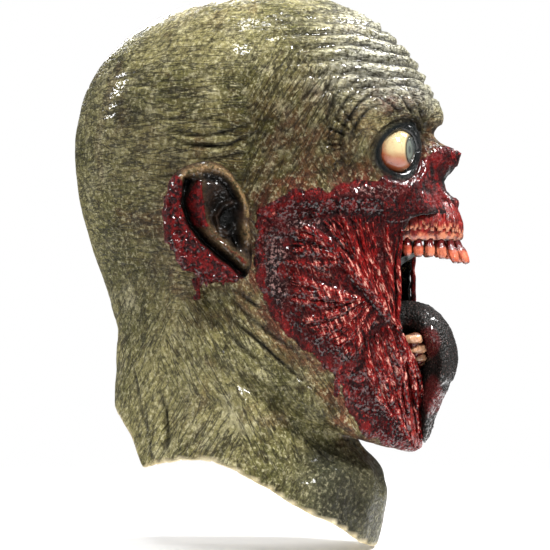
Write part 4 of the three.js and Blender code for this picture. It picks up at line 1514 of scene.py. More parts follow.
    def side_lines(self, chart: SideChart) -> list[Furrow]:
        """The creases of both sides: round the eye, over the ear, under it and on the neck."""
        made: list[Furrow] = []
        rng = np.random.default_rng(7)
        for side in Side:
            for line in self.deep_lines:
                bent = [(a + rng.normal(0, 0.8), h + rng.normal(0, 0.8)) for a, h in line]
                made.append(Furrow(chart.trace(bent, side), rng.uniform(1.1, 1.6), rng.uniform(0.8, 1.3)))
            for line in self.veins:
                made.append(Furrow(chart.trace(line, side), 1.6, -0.5, 0))
            for radius, start, end, depth in self.arcs:
                angles = np.radians(np.linspace(start, end, 9))
                wave = radius + rng.normal(0, 0.9, 9)
                line = np.stack([82 + wave * np.cos(angles), -98 + wave * np.sin(angles)], axis=1)
                made.append(Furrow(chart.trace(line, side), 1.3, depth))
            for angle in np.linspace(112, 256, self.crow_feet):
                turned = math.radians(angle + rng.normal(0, 3))
                near, far = rng.uniform(3, 8), rng.uniform(22, 46)
                reach = np.linspace(near, far, 6)
                bend = turned + np.linspace(0, rng.normal(0.12, 0.2), 6)
                along = self.eye_corner[0] + reach * np.cos(bend)
                line = np.stack([along, self.eye_corner[1] + reach * np.sin(bend)], axis=1)
                made.append(Furrow(chart.trace(line, side), rng.uniform(0.8, 1.1), rng.uniform(0.5, 1.0)))
            made += self.fine_lines(chart, side, rng)
        return made

    def fine_lines(self, chart: SideChart, side: Side, rng: np.random.Generator) -> list[Furrow]:
        """Many short creases that run the way that the skin pulls."""
        made = []
        for _ in range(self.fine_creases):
            here = np.array([rng.uniform(-122, 92), rng.uniform(-350, -3)])
            length = rng.uniform(9, 34)
            line = [here]
            for _ in range(6):
                angle = float(pull_angle(line[-1][None])[0]) + rng.normal(0, 0.16)
                line.append(line[-1] + length / 6 * np.array([math.cos(angle), math.sin(angle)]))
            _, _, distance = chart.tree.find((line[3][0], line[3][1], 0))
            if distance > 3 or outline_distance(line[3], FLESH_EDGE) < 0:
                continue
            deep = 1.5 if here[1] > -120 else 1.0
            width = rng.uniform(0.9, 1.3)
            made.append(Furrow(chart.trace(line, side), width, rng.uniform(0.2, 0.5) * deep, 0.3))
        return made

    def lids(self, points: np.ndarray, normals: np.ndarray) -> tuple[np.ndarray, np.ndarray]:
        """Thick lids round both eyeballs.

        Returns:
            The changed places, and how much each belongs to a lid.
        """
        mask = np.zeros(points.shape[:-1])
        for side in Side:
            centre = self.eye.centre(side)
            away = points - centre
            distance = np.linalg.norm(away, axis=-1)
            gap = distance - self.eye.opening
            above = smooth(-3, 6, away[..., 2])
            roll = (1.9 + 1.2 * above) * bell(gap - 2.3, 2.1)
            roll -= 1.3 * bell(gap - 6.6, 1.5)
            roll += 1.2 * bell(gap - 9.6, 1.9)
            roll -= 0.9 * bell(gap - 12.8, 1.3)
            near = (distance < 34) & (points[..., 1] > 60)
            points = points + (roll * near)[..., None] * normals
            mask = np.maximum(mask, bell(np.maximum(gap - 1.6, 0), 4.6) * near)
        return points, mask

    def above_hem(self, points: np.ndarray) -> np.ndarray:
        """How far points are above the hem."""
        return points[..., 2] - np.interp(points[..., 1], *np.array(self.hem).T)

    def keep(self, points: np.ndarray) -> np.ndarray:
        """How far inside the kept skin each point lies, below 0 where it is cut away."""
        flat = points[..., 1:]
        ragged = 1.1 * rough_noise(points, 5, 2, 31)
        hem = self.above_hem(points) + 0.5 * rough_noise(points, 7, 2, 8)
        mouth = outline_distance(flat, self.mouth) + ragged * 0.8
        kept = np.minimum(hem * 0.8, mouth)
        for side in Side:
            away = np.linalg.norm(points - self.eye.centre(side), axis=-1)
            kept = np.minimum(kept, away - self.eye.opening)
        offset = (points - np.array(self.nostril)) / np.array(self.nostril_size)
        nose = (np.linalg.norm(offset[..., (0, 2)], axis=-1) - 1) * 4.5 + ragged * 0.5
        return np.where(points[..., 1] > 98, np.minimum(kept, nose), kept)

    def zones(self, points: np.ndarray) -> dict[str, np.ndarray]:
        """Where the skin is torn, reddened, grey, and which way its creases run."""
        flat = drawn(points)
        wobble = 3.0 * rough_noise(points, 9, 3, 12)
        edge = outline_distance(flat, FLESH_EDGE) + wobble
        flesh = smooth(5, -5, edge)
        near_flesh = smooth(22, 2, edge) * 0.9
        brow = soft_spot(flat, (80, -72), (19, 13)) * 0.75
        temple = soft_spot(flat, (30, -96), (40, 32)) * 0.6
        ear = soft_spot(flat, (-34, -146), (42, 52)) * 0.4
        blush = np.clip(np.maximum.reduce([near_flesh, brow, temple, ear]), 0, 1)
        slate = smooth(-276, -300, points[..., 2]) * smooth(0, 40, flat[..., 0]) * 0.8
        angle = pull_angle(flat)
        pull = [(0.5 + 0.5 * np.cos(2 * (angle - math.radians(turned)))) ** 3 for turned in CREASE_TURNS]
        pull = np.stack(pull, axis=-1)
        pull /= pull.sum(axis=-1, keepdims=True)
        quiet = 1 - 0.55 * slate
        for line in self.drips:
            distance, share = along_line(flat, line)
            flesh = np.maximum(flesh, smooth(2.6, 0.8, distance + wobble * 0.25) * smooth(1.0, 0.8, share))
        return {"zone": np.stack([flesh, blush, slate], axis=-1), "pull": pull * quiet[..., None]}

    def build(self) -> tuple[bpy.types.Object, SideChart]:
        """Makes the hood.

        Returns:
            The piece, and the chart of its right side for what is glued to it.
        """
        turn = self.turns()
        turns, levels = np.meshgrid(turn, self.levels())
        smooth_points, normals = self.form.surface(turns, levels, wrapped=True)
        smooth_points = self.funnel(smooth_points, normals)
        normals = self.form.normals(smooth_points, True)
        inner = smooth_points - self.wall * normals
        chart = SideChart(smooth_points)
        points, lid = self.lids(smooth_points, normals)
        inner = inner + (points - smooth_points) * 0.8
        flat = points.reshape(-1, 3)
        rise, cavity = np.zeros(len(flat)), np.zeros(len(flat))
        for furrow in self.brow_lines(smooth_points, turn) + self.side_lines(chart):
            furrow.press(flat, rise, cavity)
        zones = self.zones(points)
        flesh = zones["zone"][..., 0].ravel()
        ragged = 0.9 * rough_noise(flat * np.array([1, 1, 0.45]), 4.2, 3, 40)
        ridged = 1 - 2 * np.abs(rough_noise(flat * np.array([1, 1, 0.3]), 5.0, 2, 61))
        rise = rise * (1 - 0.75 * flesh) + flesh * (ragged + 0.7 * ridged - 0.5)
        rise += 0.12 * rough_noise(flat, 3.4, 2, 70) * (1 - flesh)
        eye_near = lid.ravel() > 0.25
        rise = np.where(eye_near, rise * 0.35, rise)
        # Painted shade in the low places of the torn flesh.
        cavity = np.maximum(cavity * (1 - flesh), flesh * smooth(0.1, -0.9, ragged))
        raised = points + np.clip(rise, -2.1, 2.8).reshape(turns.shape)[..., None] * normals
        keep = self.keep(raised)
        # Broad dark paint, and painted shade in the hollows.
        cavity = np.maximum(cavity, strongest(drawn(points), WASHES_AND_SHADE).ravel() * (1 - flesh))
        nose = np.linalg.norm((raised - np.array(self.nostril)) / np.array([9, 30, 8]), axis=-1)
        # Painted shade inside the nose opening's funnel, beside the black paint of the lids.
        dark = np.maximum(lid, smooth(1.5, 0.8, nose) * (raised[..., 1] > 100))
        mouth = smooth(5, 0.5, outline_distance(raised[..., 1:], self.mouth)) * (raised[..., 1] > 80) * 0.7
        hem = smooth(1.4, 0.2, self.above_hem(raised))
        # Three marks: black paint on the lids and the mouth's edge with painted shade in the nose opening, the
        # creases' wash with painted shade in the hollows, and raw latex at the hem.
        stain = np.stack([np.maximum(dark, mouth), cavity.reshape(keep.shape), hem * 0.8], axis=-1)
        values = {**zones, "stain": stain}
        # Painted shade on the inner sheet towards the face, where it is seen through the openings; the rest stays raw
        # latex.
        inner_shade = smooth(4, 30, inner[..., 1]) * smooth(-312, -298, inner[..., 2])
        plain = np.zeros(keep.shape)
        inner_values = {
            "zone": np.stack([plain, plain, plain], axis=-1),
            "pull": zones["pull"] * 0,
            "stain": np.stack([inner_shade, plain, 1 - inner_shade], axis=-1),
            "thin": (keep > self.hidden_depth).astype(float),
        }
        draft = MeshDraft()
        cut_shell(draft, raised, inner, keep, values, inner_values, True, 0.7)
        self.close_top(draft, raised, inner, values, inner_values)
        self.add_lids(draft)
        piece = thinned(draft.build("latex_skin"), self.hidden_share)
        return finish_piece(piece, SkinFinish().make(), "skin", ["hood_skin"]), chart

    def add_lids(self, draft: MeshDraft) -> None:
        """Adds a wet rolled lid and a slack fold round each eyeball."""
        for side in Side:
            centre = self.eye.centre(side)
            axis = np.array([side.value * math.sin(self.eye.lid_turn), math.cos(self.eye.lid_turn), -0.08])
            across = np.cross(axis, [0, 0, 1.0])
            up = np.cross(across, axis)
            angle = np.linspace(0, 2 * math.pi, 121)[:-1]
            circle = np.stack([np.cos(angle), np.sin(angle), angle * 0], axis=1)
            for polar, reach, thick, seed in ((0, 17.4, 2.3, 3), (0.21, 19.2, 2.5, 5), (0.44, 20.2, 2.2, 9)):
                wave = 0.05 * lattice_noise(circle * 9, 4, seed)
                opened = self.eye.lid_angle + polar + wave - 0.08 * np.sin(angle)
                ring = np.cos(angle)[:, None] * across + np.sin(angle)[:, None] * up
                line = centre + reach * (np.cos(opened)[:, None] * axis + np.sin(opened)[:, None] * ring)
                size = thick * (1 + 0.28 * np.sin(angle)) * (1 + 0.22 * lattice_noise(line, 3.4, seed))
                looped = np.concatenate([line, line[:1]])
                dark = 1.0 if polar < 0.1 else 0.85 if polar < 0.3 else 0.45
                values = {"zone": (0, 0.5, 0), "stain": (dark, 0, 0), "pull": (0.4, 0.3, 0.3)}
                add_tube(draft, looped, np.append(size, size[0]), 12, **values)

    @staticmethod
    def close_top(
        draft: MeshDraft,
        outer: np.ndarray,
        inner: np.ndarray,
        values: dict[str, np.ndarray],
        inner_values: dict[str, np.ndarray],
    ) -> None:
        """Closes both sheets at the crown with fans."""
        columns = outer.shape[1]
        step = np.arange(columns)
        fan = np.stack([np.full(columns, columns), step, (step + 1) % columns], axis=1)
        for grid, kept, flip in ((outer, values, False), (inner, inner_values, True)):
            given = {}
            for name, value in {"places": grid, **kept}.items():
                given[name] = np.concatenate([value[-1], value[-1].mean(axis=0, keepdims=True)])
            draft.add(given.pop("places"), [fan[:, ::-1] if flip else fan], **given)


def merged(piece: bpy.types.Object) -> bpy.types.Object:
    """Merges a piece's points where they meet, and turns its faces outwards."""
    shape = bmesh.new()
    shape.from_mesh(piece.data)
    bmesh.ops.remove_doubles(shape, verts=shape.verts, dist=1e-6)
    bmesh.ops.recalc_face_normals(shape, faces=shape.faces)
    shape.to_mesh(piece.data)
    shape.free()
    return piece


def thinned(piece: bpy.types.Object, share: float) -> bpy.types.Object:
    """Makes the part of a mesh that its values call thin coarser, and leaves the rest.

    Args:
        piece: The object, with a value named thin at its points.
        share: The share of the thin part's faces that stays.

    Returns:
        The piece, merged where its points meet.
    """
    merged(piece)
    thin = np.zeros(len(piece.data.vertices), np.float32)
    piece.data.attributes["thin"].data.foreach_get("value", thin)
    chosen = np.flatnonzero(thin > 0.5)
    group = piece.vertex_groups.new(name="thin")
    group.add(chosen.tolist(), 1.0, "REPLACE")
    part = len(chosen) / len(thin)
    modifier = piece.modifiers.new("thin", "DECIMATE")
    modifier.ratio = 1 - part * (1 - share)
    modifier.vertex_group = group.name
    graph = bpy.context.evaluated_depsgraph_get()
    final = bpy.data.meshes.new_from_object(piece.evaluated_get(graph))
    piece.modifiers.clear()
    piece.vertex_groups.clear()
    piece.data = final
    final.attributes.remove(final.attributes["thin"])
    return piece


# ------------------------------------------------------------------ the eyes


@dataclass
class Eye:
    """An eyeball with its iris and cornea."""

    place: tuple[float, float, float] = (34, 87.8, -100)
    radius: float = 16
    opening: float = 16.9
    lid_turn: float = math.radians(44)
    lid_angle: float = math.radians(64)
    turned_out: float = math.radians(12)
    iris_radius: float = 7.4
    cornea_edge: float = 8.2
    iris_drop: float = 2.8
    columns: int = 96

    def centre(self, side: Side) -> np.ndarray:
        """The eyeball's middle."""
        return np.array(self.place) * np.array([side.value, 1, 1])

    def axes(self, side: Side) -> np.ndarray:
        """The across, forward and up directions of the eye, one in a row."""
        gaze = np.array([side.value * math.sin(self.turned_out), math.cos(self.turned_out), 0])
        up = np.array([0, 0, 1.0])
        return np.stack([np.cross(gaze, up), gaze, up])

    def cap(self, side: Side, radii: np.ndarray, depths: np.ndarray, count: int) -> np.ndarray:
        """A surface of revolution about the gaze.

        Args:
            side: Which eye.
            radii: Its radius at each ring.
            depths: How far each ring is forward of the middle.
            count: Points in a ring.

        Returns:
            The grid of places.
        """
        angle = ring_angles(count)
        across, ahead, up = self.axes(side)
        ring = across * np.cos(angle)[:, None] + up * np.sin(angle)[:, None]
        return self.centre(side) + radii[:, None, None] * ring + (depths[:, None] * ahead)[:, None]

    def add_cap(self, draft: MeshDraft, grid: np.ndarray, **values: np.ndarray) -> None:
        """Adds a surface of revolution whose first and last rings are small, and closes their ends."""
        rows, columns = grid.shape[:2]
        step = np.arange(columns)
        ends = []
        for ring, flip in ((0, 1), (rows - 1, -1)):
            ends.append((ring * columns + step)[None, ::flip])
        draft.add(grid, [grid_quads(rows, columns, True), *ends], **values)

    def build(self, side: Side) -> None:
        """Makes the eyeball, iris and cornea of one side."""
        label, ahead = side.label, self.axes(side)[1]
        depth = self.radius - self.iris_drop
        start = math.asin(self.cornea_edge / self.radius) * 0.98
        polar = np.linspace(start, math.pi - 0.03, 60)
        seat = [0.4, 5.0, self.iris_radius + 0.2, self.iris_radius + 0.4]
        radii = np.concatenate([seat, self.radius * np.sin(polar)])
        floor = depth - 1.4
        depths = np.concatenate([[floor, floor, floor, depth + 0.5], self.radius * np.cos(polar)])
        grid = self.cap(side, radii, depths, self.columns)
        away = grid - self.centre(side)
        outward = np.array([side.value, 0, 0])
        rear = smooth(6, -7, away @ ahead) + 0.2 * smooth(0.2, 0.9, (away @ outward) / self.radius)
        low = smooth(1, -11, away[..., 2]) * 1.1
        draft = MeshDraft()
        off = np.linalg.norm(away - (away @ ahead)[..., None] * ahead, axis=-1)
        rim = smooth(self.cornea_edge + 1.5, self.cornea_edge + 0.5, off) * (away @ ahead > 0)
        self.add_cap(draft, grid, ball=np.stack([np.clip(rear, 0, 1.3), low, rim], axis=-1))
        ball = draft.build(f"eye_white_{label}")
        finish_piece(ball, BallFinish().make(), "sclera", [f"{label}_eyeball"])

        share = np.concatenate([np.linspace(0.03, 1, 26), [1.0, 0.03]])
        depths = depth - 1.3 + np.concatenate([0.5 + 0.7 * np.sin(np.linspace(0.4, 2.9, 26)), [0.1, 0.1]])
        grid = self.cap(side, share * self.iris_radius, depths, self.columns)
        angle = np.broadcast_to(np.abs(np.linspace(-1, 1, self.columns)), grid.shape[:2])
        wave = 0.14 * lattice_noise(np.stack([angle * 40, angle * 0, angle * 0], axis=-1), 1.0, 3)
        grid = grid + (wave * np.minimum(share, 0.9)[:, None])[..., None] * ahead
        out = np.broadcast_to(share[:, None], grid.shape[:2])
        draft = MeshDraft()
        self.add_cap(draft, grid, disc=np.stack([out, angle, out * 0], axis=-1))
        finish_piece(draft.build(f"iris_disc_{label}"), IrisFinish().make(), "iris", [f"{label}_iris"])

        base = math.sqrt(self.radius**2 - self.cornea_edge**2) + 0.15
        share = np.linspace(0.03, 1, 26)
        dome = base + 2.5 * (1 - share**2)
        back = base - 0.5 + 2.2 * (1 - share[::-1] ** 2)
        radii = np.concatenate([share, share[::-1]]) * (self.cornea_edge + 0.2)
        grid = self.cap(side, radii, np.concatenate([dome, back]), 64)
        draft = MeshDraft()
        self.add_cap(draft, grid)
        finish_piece(draft.build(f"clear_dome_{label}"), CorneaFinish().make(), "cornea", [f"{label}_cornea"])


# ------------------------------------------------------------------ the cheeks

# The thick muscle bands, on the drawing plane: their line and their radius.
BANDS = (
    (((84, -212), (70, -192), (57, -177), (42, -160), (25, -149)), 2.1),
    (((84, -212), (72, -192), (62, -175), (53, -152), (49, -143)), 2.0),
    (((84, -212), (75, -196), (67, -182), (62, -160), (60, -144)), 1.4),
    (((82, -210), (76, -190), (70, -170), (68, -146)), 1.2),
    (((60, -193), (50, -194), (43, -192), (30, -190), (19, -189)), 2.1),
    (((60, -193), (48, -191), (37, -187), (27, -183), (17, -177)), 1.8),
    (((58, -192), (44, -197), (30, -196), (18, -194)), 1.3),
    (((62, -194), (50, -200), (38, -205), (25, -207)), 1.5),
    (((64, -196), (54, -206), (44, -213), (34, -216)), 1.4),
    (((67, -198), (58, -210), (50, -219), (44, -222)), 1.3),
    (((71, -202), (64, -213), (58, -224), (54, -230)), 1.2),
    (((56, -176), (46, -164), (34, -156), (22, -154)), 1.5),
    (((52, -172), (40, -165), (30, -163), (18, -164)), 1.2),
    (((50, -170), (38, -172), (26, -172), (14, -170)), 1.1),
    (((84, -212), (84, -190), (84, -172), (86, -150)), 1.4),
    (((81, -206), (80, -186), (78, -166), (77, -148)), 1.2),
    (((77, -211), (81, -224), (86, -238), (89, -256), (91, -274)), 1.8),
    (((70, -216), (73, -232), (78, -250), (86, -272), (92, -284)), 1.7),
    (((82, -212), (88, -226), (93, -242), (96, -262), (97, -280)), 1.8),
    (((74, -212), (76, -230), (82, -248), (87, -266)), 1.3),
    (((64, -218), (66, -234), (72, -252), (80, -268)), 1.4),
    (((86, -216), (92, -230), (97, -244), (100, -262), (99, -284)), 1.6),
)

# The pairs of bands, by their numbers in BANDS, that thinner fibres fill the gaps between.
BAND_GAPS = (
    (0, 1), (1, 2), (2, 3), (4, 5), (4, 6), (7, 8), (8, 9), (9, 10), (0, 11), (11, 12),
    (12, 13), (14, 15), (16, 17), (16, 18), (17, 19), (19, 20), (18, 21), (6, 7), (13, 5),
)  # fmt: skip

# The torn hollows under the cheekbone and at the jaw's angle, sunk and darkened with painted shade: (along, height,
# wide, tall, share).
PITS = (
    (42, -137, 6, 4, 1), (54, -136, 5.5, 4, 1), (67, -137, 6, 4.5, 1), (79, -134, 4.5, 4, 1),
    (28, -142, 5, 3.5, 1), (52, -236, 7, 4, 1), (44, -230, 5, 3, 1), (60, -244, 4, 3, 1),
    (16, -158, 4, 4, 1), (12, -180, 4, 6, 1),
)  # fmt: skip

# Where the bed is grey and speckled, not red: (along, height, wide, tall, share).
TISSUE = (
    (8, -178, 11, 34, 1.0), (25, -146, 22, 9, 0.8), (70, -126, 26, 7, 0.7), (36, -174, 14, 8, 0.8),
    (48, -208, 14, 9, 0.7), (72, -164, 7, 14, 0.6), (70, -236, 14, 14, 0.6), (52, -230, 10, 10, 0.9),
)  # fmt: skip


@dataclass
class Cheek:
    """Raw muscle over the jaw: a torn bed of tissue with bands that fan across it."""

    form: HeadForm
    chart: SideChart
    mouth: Sequence[tuple[float, float]]
    turn: tuple[float, float] = (math.radians(22), math.radians(94))
    bottom: str = "chin"
    top: str = "eyes"
    columns: int = 150
    rows: int = 190
    swell: float = 1.35  # how far the bands are thickened
    per_gap: int = 6
    wisps: int = 260
    loose: int = 60  # how many of the thinner fibres stand off the bed, beside every band

    def strands(self, side: Side, rng: np.random.Generator) -> list[tuple[np.ndarray, float]]:
        """The bands and the many thinner fibres between them, as lines and radii."""
        made = [(self.chart.trace(line, side, 2.0), radius * self.swell) for line, radius in BANDS]
        for pair in BAND_GAPS:
            knots = [[(*knot, 0) for knot in BANDS[band][0]] for band in pair]
            ends = [spline(line, np.linspace(0, 1, 7))[:, :2] for line in knots]
            for share in rng.uniform(0.12, 0.88, self.per_gap):
                line = ends[0] * (1 - share) + ends[1] * share + rng.normal(0, 0.7, (7, 2))
                start = rng.integers(0, 3)
                made.append((self.chart.trace(line[start:], side, 2.0), rng.uniform(0.5, 0.95)))
        for _ in range(self.wisps):
            band = BANDS[rng.integers(0, len(BANDS))][0]
            root = spline([(*knot, 0) for knot in band], np.array([rng.uniform(0.15, 0.95)]))[0, :2]
            angle = rng.normal(-math.pi / 2 if rng.uniform() < 0.5 else math.pi / 2, 0.5)
            reach = np.linspace(0, rng.uniform(5, 13), 5)
            bend = angle + np.linspace(0, rng.normal(0, 0.5), 5)
            line = root + np.stack([reach * np.cos(bend), reach * np.sin(bend)], axis=1)
            if outline_distance(line[-1], FLESH_EDGE) < -4:
                made.append((self.chart.trace(line, side, 2.0), rng.uniform(0.4, 0.7)))
        return made

    def build(self, side: Side) -> None:
        """Makes one cheek."""
        rng = np.random.default_rng(90 + side.value)
        ends = [side.value * angle for angle in self.turn]
        turn = np.linspace(min(ends), max(ends), self.columns)
        level = np.linspace(level_of(self.bottom) - 0.045, level_of(self.top) - 0.02, self.rows)
        turns, levels = np.meshgrid(turn, level)
        points, normals = self.form.surface(turns, levels)
        flat = points.reshape(-1, 3)
        strands = self.strands(side, rng)
        height = np.zeros(len(flat))
        fibre = np.zeros(len(flat))
        for line, radius in strands:
            near = near_line(flat, line, 3.2 * radius)
            if not len(near):
                continue
            distance, share = along_line(flat[near], line)
            taper = np.sin(math.pi * (0.08 + 0.84 * share))
            shape = np.sqrt(np.clip(1 - (distance / (1.35 * radius)) ** 2, 0, 1)) * taper
            height[near] = np.maximum(height[near], 1.35 * radius * shape)
            fibre[near] = np.maximum(fibre[near], shape)
        plane = drawn(points)
        edge = -outline_distance(plane, FLESH_EDGE) - 2.5 + 2.2 * rough_noise(points, 8, 3, 5)
        mouth = outline_distance(points[..., 1:], self.mouth) - 1.2 + 0.5 * rough_noise(points, 5, 2, 31)
        front = (np.abs(points[..., 0]) - 27) + 5 * smooth(-250, -275, points[..., 2]) * 2
        keep = np.minimum.reduce([edge, mouth * 0.8, front * 0.6])
        rough = rough_noise(points * np.array([1, 1, 0.5]), 3.6, 3, 77)
        pits, grey = strongest(plane, PITS, 1.5), strongest(plane, TISSUE)
        bed = 0.9 + 0.55 * rough + height.reshape(keep.shape) - 2.6 * pits
        fade = smooth(0.0, 6.5, np.minimum(edge, front))
        mouth_fade = smooth(-0.5, 2.5, mouth)
        rise = np.clip(bed, -1.6, 4.4) * fade * mouth_fade + (1 - fade) * -0.7
        outer = points + rise[..., None] * normals
        inner = points - 1.9 * normals
        crest = smooth(0.25, 1.9, height).reshape(keep.shape)
        # Painted shade on the bed between the bands, in the pits and in its low places.
        cavity = np.clip(smooth(0.9, -0.5, bed) + pits + 0.72 * (1 - crest), 0, 1) * (0.25 + 0.75 * fade)
        cavity = cavity * (1 - 0.6 * grey)
        tissue = grey * smooth(0.75, 0.2, fibre).reshape(keep.shape)
        values = {"meat": np.stack([cavity, fibre.reshape(keep.shape), tissue], axis=-1)}
        draft = MeshDraft()
        cut_shell(draft, outer, inner, keep, values, values, False, 0.2)
        for line, radius in strands[: len(BANDS) + self.loose]:
            centre = np.array([0, line[:, 1].mean() * 0.55 - 10, line[:, 2].mean()])
            out = line - centre
            out[:, 2] *= 0.25
            out /= np.linalg.norm(out, axis=1, keepdims=True)
            share = np.linspace(0, 1, len(line))
            thick = radius * (0.35 + 0.65 * np.sin(math.pi * (0.08 + 0.86 * share)))
            lift = 1.3 + 0.5 * radius + 0.7 * lattice_noise(line, 7, 9)
            thick = thick * (1 + 0.2 * lattice_noise(line, 3, 4))
            add_tube(draft, line + out * lift[:, None], thick, 7, meat=(0, 1, 0))
        piece = draft.build(f"cheek_meat_{side.label}")
        finish_piece(piece, FleshFinish().make(), "muscle", [f"{side.label}_cheek_muscle"])


# ------------------------------------------------------------------ the ears


@dataclass
class Ear:
    """An ear with a rolled top, a deep bowl, a long groove and a wide torn rear rim.

    Lines on the ear are (ahead, up) from its middle.
    """

    place: tuple[float, float, float] = (75.5, -18, -145)
    flare: float = math.radians(21)
    tilt: float = math.radians(6)
    squeeze: float = 0.87
    stand: float = 9.8
    radii: tuple[tuple[float, float], ...] = (
        (0, 25), (20, 26), (45, 28), (65, 33), (90, 36.5), (110, 37.5), (130, 39.5), (150, 37.5),
        (175, 36), (200, 36), (225, 36), (250, 37), (270, 38), (285, 41), (297, 43), (310, 36),
        (330, 28), (345, 25), (360, 25),
    )  # fmt: skip
    rings: tuple[tuple[float, float], ...] = (
        (0.02, 0), (0.15, 0), (0.3, 0), (0.45, 0), (0.6, 0), (0.72, 0), (0.82, 0), (0.9, 0),
        (0.96, -0.4), (1.0, -1.6), (1.015, -3.4), (1.0, -5.2), (0.92, -6.6), (0.8, -8.2), (0.6, -11.5),
        (0.3, -14.5), (0.1, -15),
    )  # fmt: skip
    groove: tuple[tuple[float, float], ...] = (
        (-17, 26), (-21, 12), (-17, -2), (-6, -15), (8, -27), (17, -36),
    )  # fmt: skip
    antihelix: tuple[tuple[float, float], ...] = (
        (-8, 26), (-12, 12), (-8, -2), (2, -13), (12, -22), (18, -28),
    )  # fmt: skip
    swirl: tuple[tuple[float, float], ...] = ((23, 8), (15, 10), (7, 8), (1, 2), (2, -6), (8, -9), (12, -5))
    columns: int = 260
    rows: int = 110
    front_rows: int = 66  # the rows of the ear's outward face; the others run round its rim to the back

    def axes(self, side: Side) -> np.ndarray:
        """The ear's forward, up and outward directions, one in a row."""
        out = np.array([side.value * math.cos(self.flare), math.sin(self.flare), 0])
        ahead = np.array([-side.value * math.sin(self.flare), math.cos(self.flare), 0])
        up = np.array([0, 0, 1.0])
        turned = ahead * math.cos(self.tilt) + up * math.sin(self.tilt)
        raised = up * math.cos(self.tilt) - ahead * math.sin(self.tilt)
        return np.stack([turned, raised, out])

    def outline(self, angle: np.ndarray, side: Side) -> np.ndarray:
        """The rim's radius, from an angle that is 0 forwards and grows upwards."""
        knots = np.array(self.radii)
        radius = np.interp(np.degrees(angle), knots[:, 0], knots[:, 1])
        radius = np.convolve(np.concatenate([radius[-9:], radius, radius[:9]]), np.ones(19) / 19, "valid")
        torn = smooth(118, 140, np.degrees(angle)) * smooth(312, 290, np.degrees(angle))
        circle = np.stack([np.cos(angle), np.sin(angle), np.full_like(angle, side.value)], axis=-1) * 30
        return radius + torn * (1.8 * rough_noise(circle, 7, 3, 4) + 1.1 * rough_noise(circle, 2.5, 2, 9))

    def build(self, side: Side) -> None:
        """Makes one ear."""
        count = self.columns
        angle = ring_angles(count)
        radius = self.outline(angle, side)
        fine = spline([(*ring, 0) for ring in self.rings], np.linspace(0, 1, self.rows))[:, :2]
        share, rise = fine[:, 0][:, None], fine[:, 1][:, None] + np.zeros((1, count))
        degrees = np.degrees(angle)[None]
        front = (np.arange(len(fine))[:, None] < self.front_rows) * 1.0
        top = smooth(5, 30, degrees) * smooth(138, 116, degrees)
        torn = smooth(122, 140, degrees) * smooth(312, 296, degrees)
        ahead, up = np.cos(angle)[None] * share * radius, np.sin(angle)[None] * share * radius
        flat = np.stack([ahead, up], axis=-1)
        groove = bell(line_distance(flat, self.groove), 2.6)
        anti = bell(line_distance(flat, self.antihelix), 3.4)
        swirl = bell(line_distance(flat, self.swirl), 1.9)
        bowl = soft_spot(flat, (7, 3), (10.5, 15), 1.7)
        canal = soft_spot(flat, (14, -14), (4, 5))
        tragus = soft_spot(flat, (21, -10), (3.6, 6))
        helix = bell(share - 0.9, 0.07) * top
        scapha = bell(share - 0.73, 0.08) * top
        bend = [math.degrees(math.atan2(high, along)) % 360 for along, high in self.groove]
        inner = np.interp(degrees, bend, np.hypot(*np.array(self.groove).T))
        band = smooth(-0.5, 3.0, share * radius - inner) * torn
        shape = 2.0 * helix - 2.4 * scapha + 2.4 * band - 5.4 * groove + 2.8 * anti - 5.8 * bowl
        lobe_slope = 0.07 * (ahead + 20) * (up < -10)
        shape = shape + 4.2 * swirl * (0.3 + bowl) - 3.6 * canal + 5.0 * tragus - lobe_slope
        rise = rise + front * shape * smooth(1.01, 0.93, share)
        turned, raised, out = self.axes(side)
        centre = np.array(self.place) * np.array([side.value, 1, 1])
        grid = centre + (ahead * self.squeeze)[..., None] * turned + up[..., None] * raised
        grid = grid + (rise + self.stand)[..., None] * out
        lump = 0.35 * rough_noise(grid, 6, 3, 14)
        tear = np.clip(band * (1 - groove), 0, 1)
        clot = 1 - np.abs(rough_noise(grid, 3.4, 2, 18))
        blob = soft_spot(flat, (-25, 27), (5, 6))
        lump = lump + (tear * (1.9 * clot - 0.8) + 2.2 * blob) * front
        grid = grid + (lump * smooth(0.0, 0.1, share))[..., None] * out
        # Painted shade in the groove, the bowl, the canal and the hollow under the rim.
        deep = np.clip(groove + 0.95 * bowl * (1 - 0.7 * swirl) + canal + 0.7 * scapha, 0, 1)
        rim = smooth(0.8, 0.95, share) * smooth(60, 20, degrees)
        tan = np.clip(helix + 0.8 * tragus + rim + 0.5 * anti, 0, 1)
        patch = soft_spot(flat, (-13, 10), (6, 12))
        red = np.clip(tear + patch + 0.35 * anti + 0.6 * (1 - front) * torn, 0, 1)
        spread = [np.broadcast_to(part, grid.shape[:2]) for part in (deep * front, red, tan)]
        draft = MeshDraft()
        rows = grid.shape[0]
        step = np.arange(count)
        ends = [step[None], ((rows - 1) * count + step)[None, ::-1]]
        draft.add(grid, [grid_quads(rows, count, True)[:, ::-1], *ends], lobe=np.stack(spread, axis=-1))
        self.add_drips(draft, side, centre)
        piece = draft.build(f"ear_{side.label}_torn")
        finish_piece(piece, EarFinish().make(), "ear", [f"{side.label}_ear"])

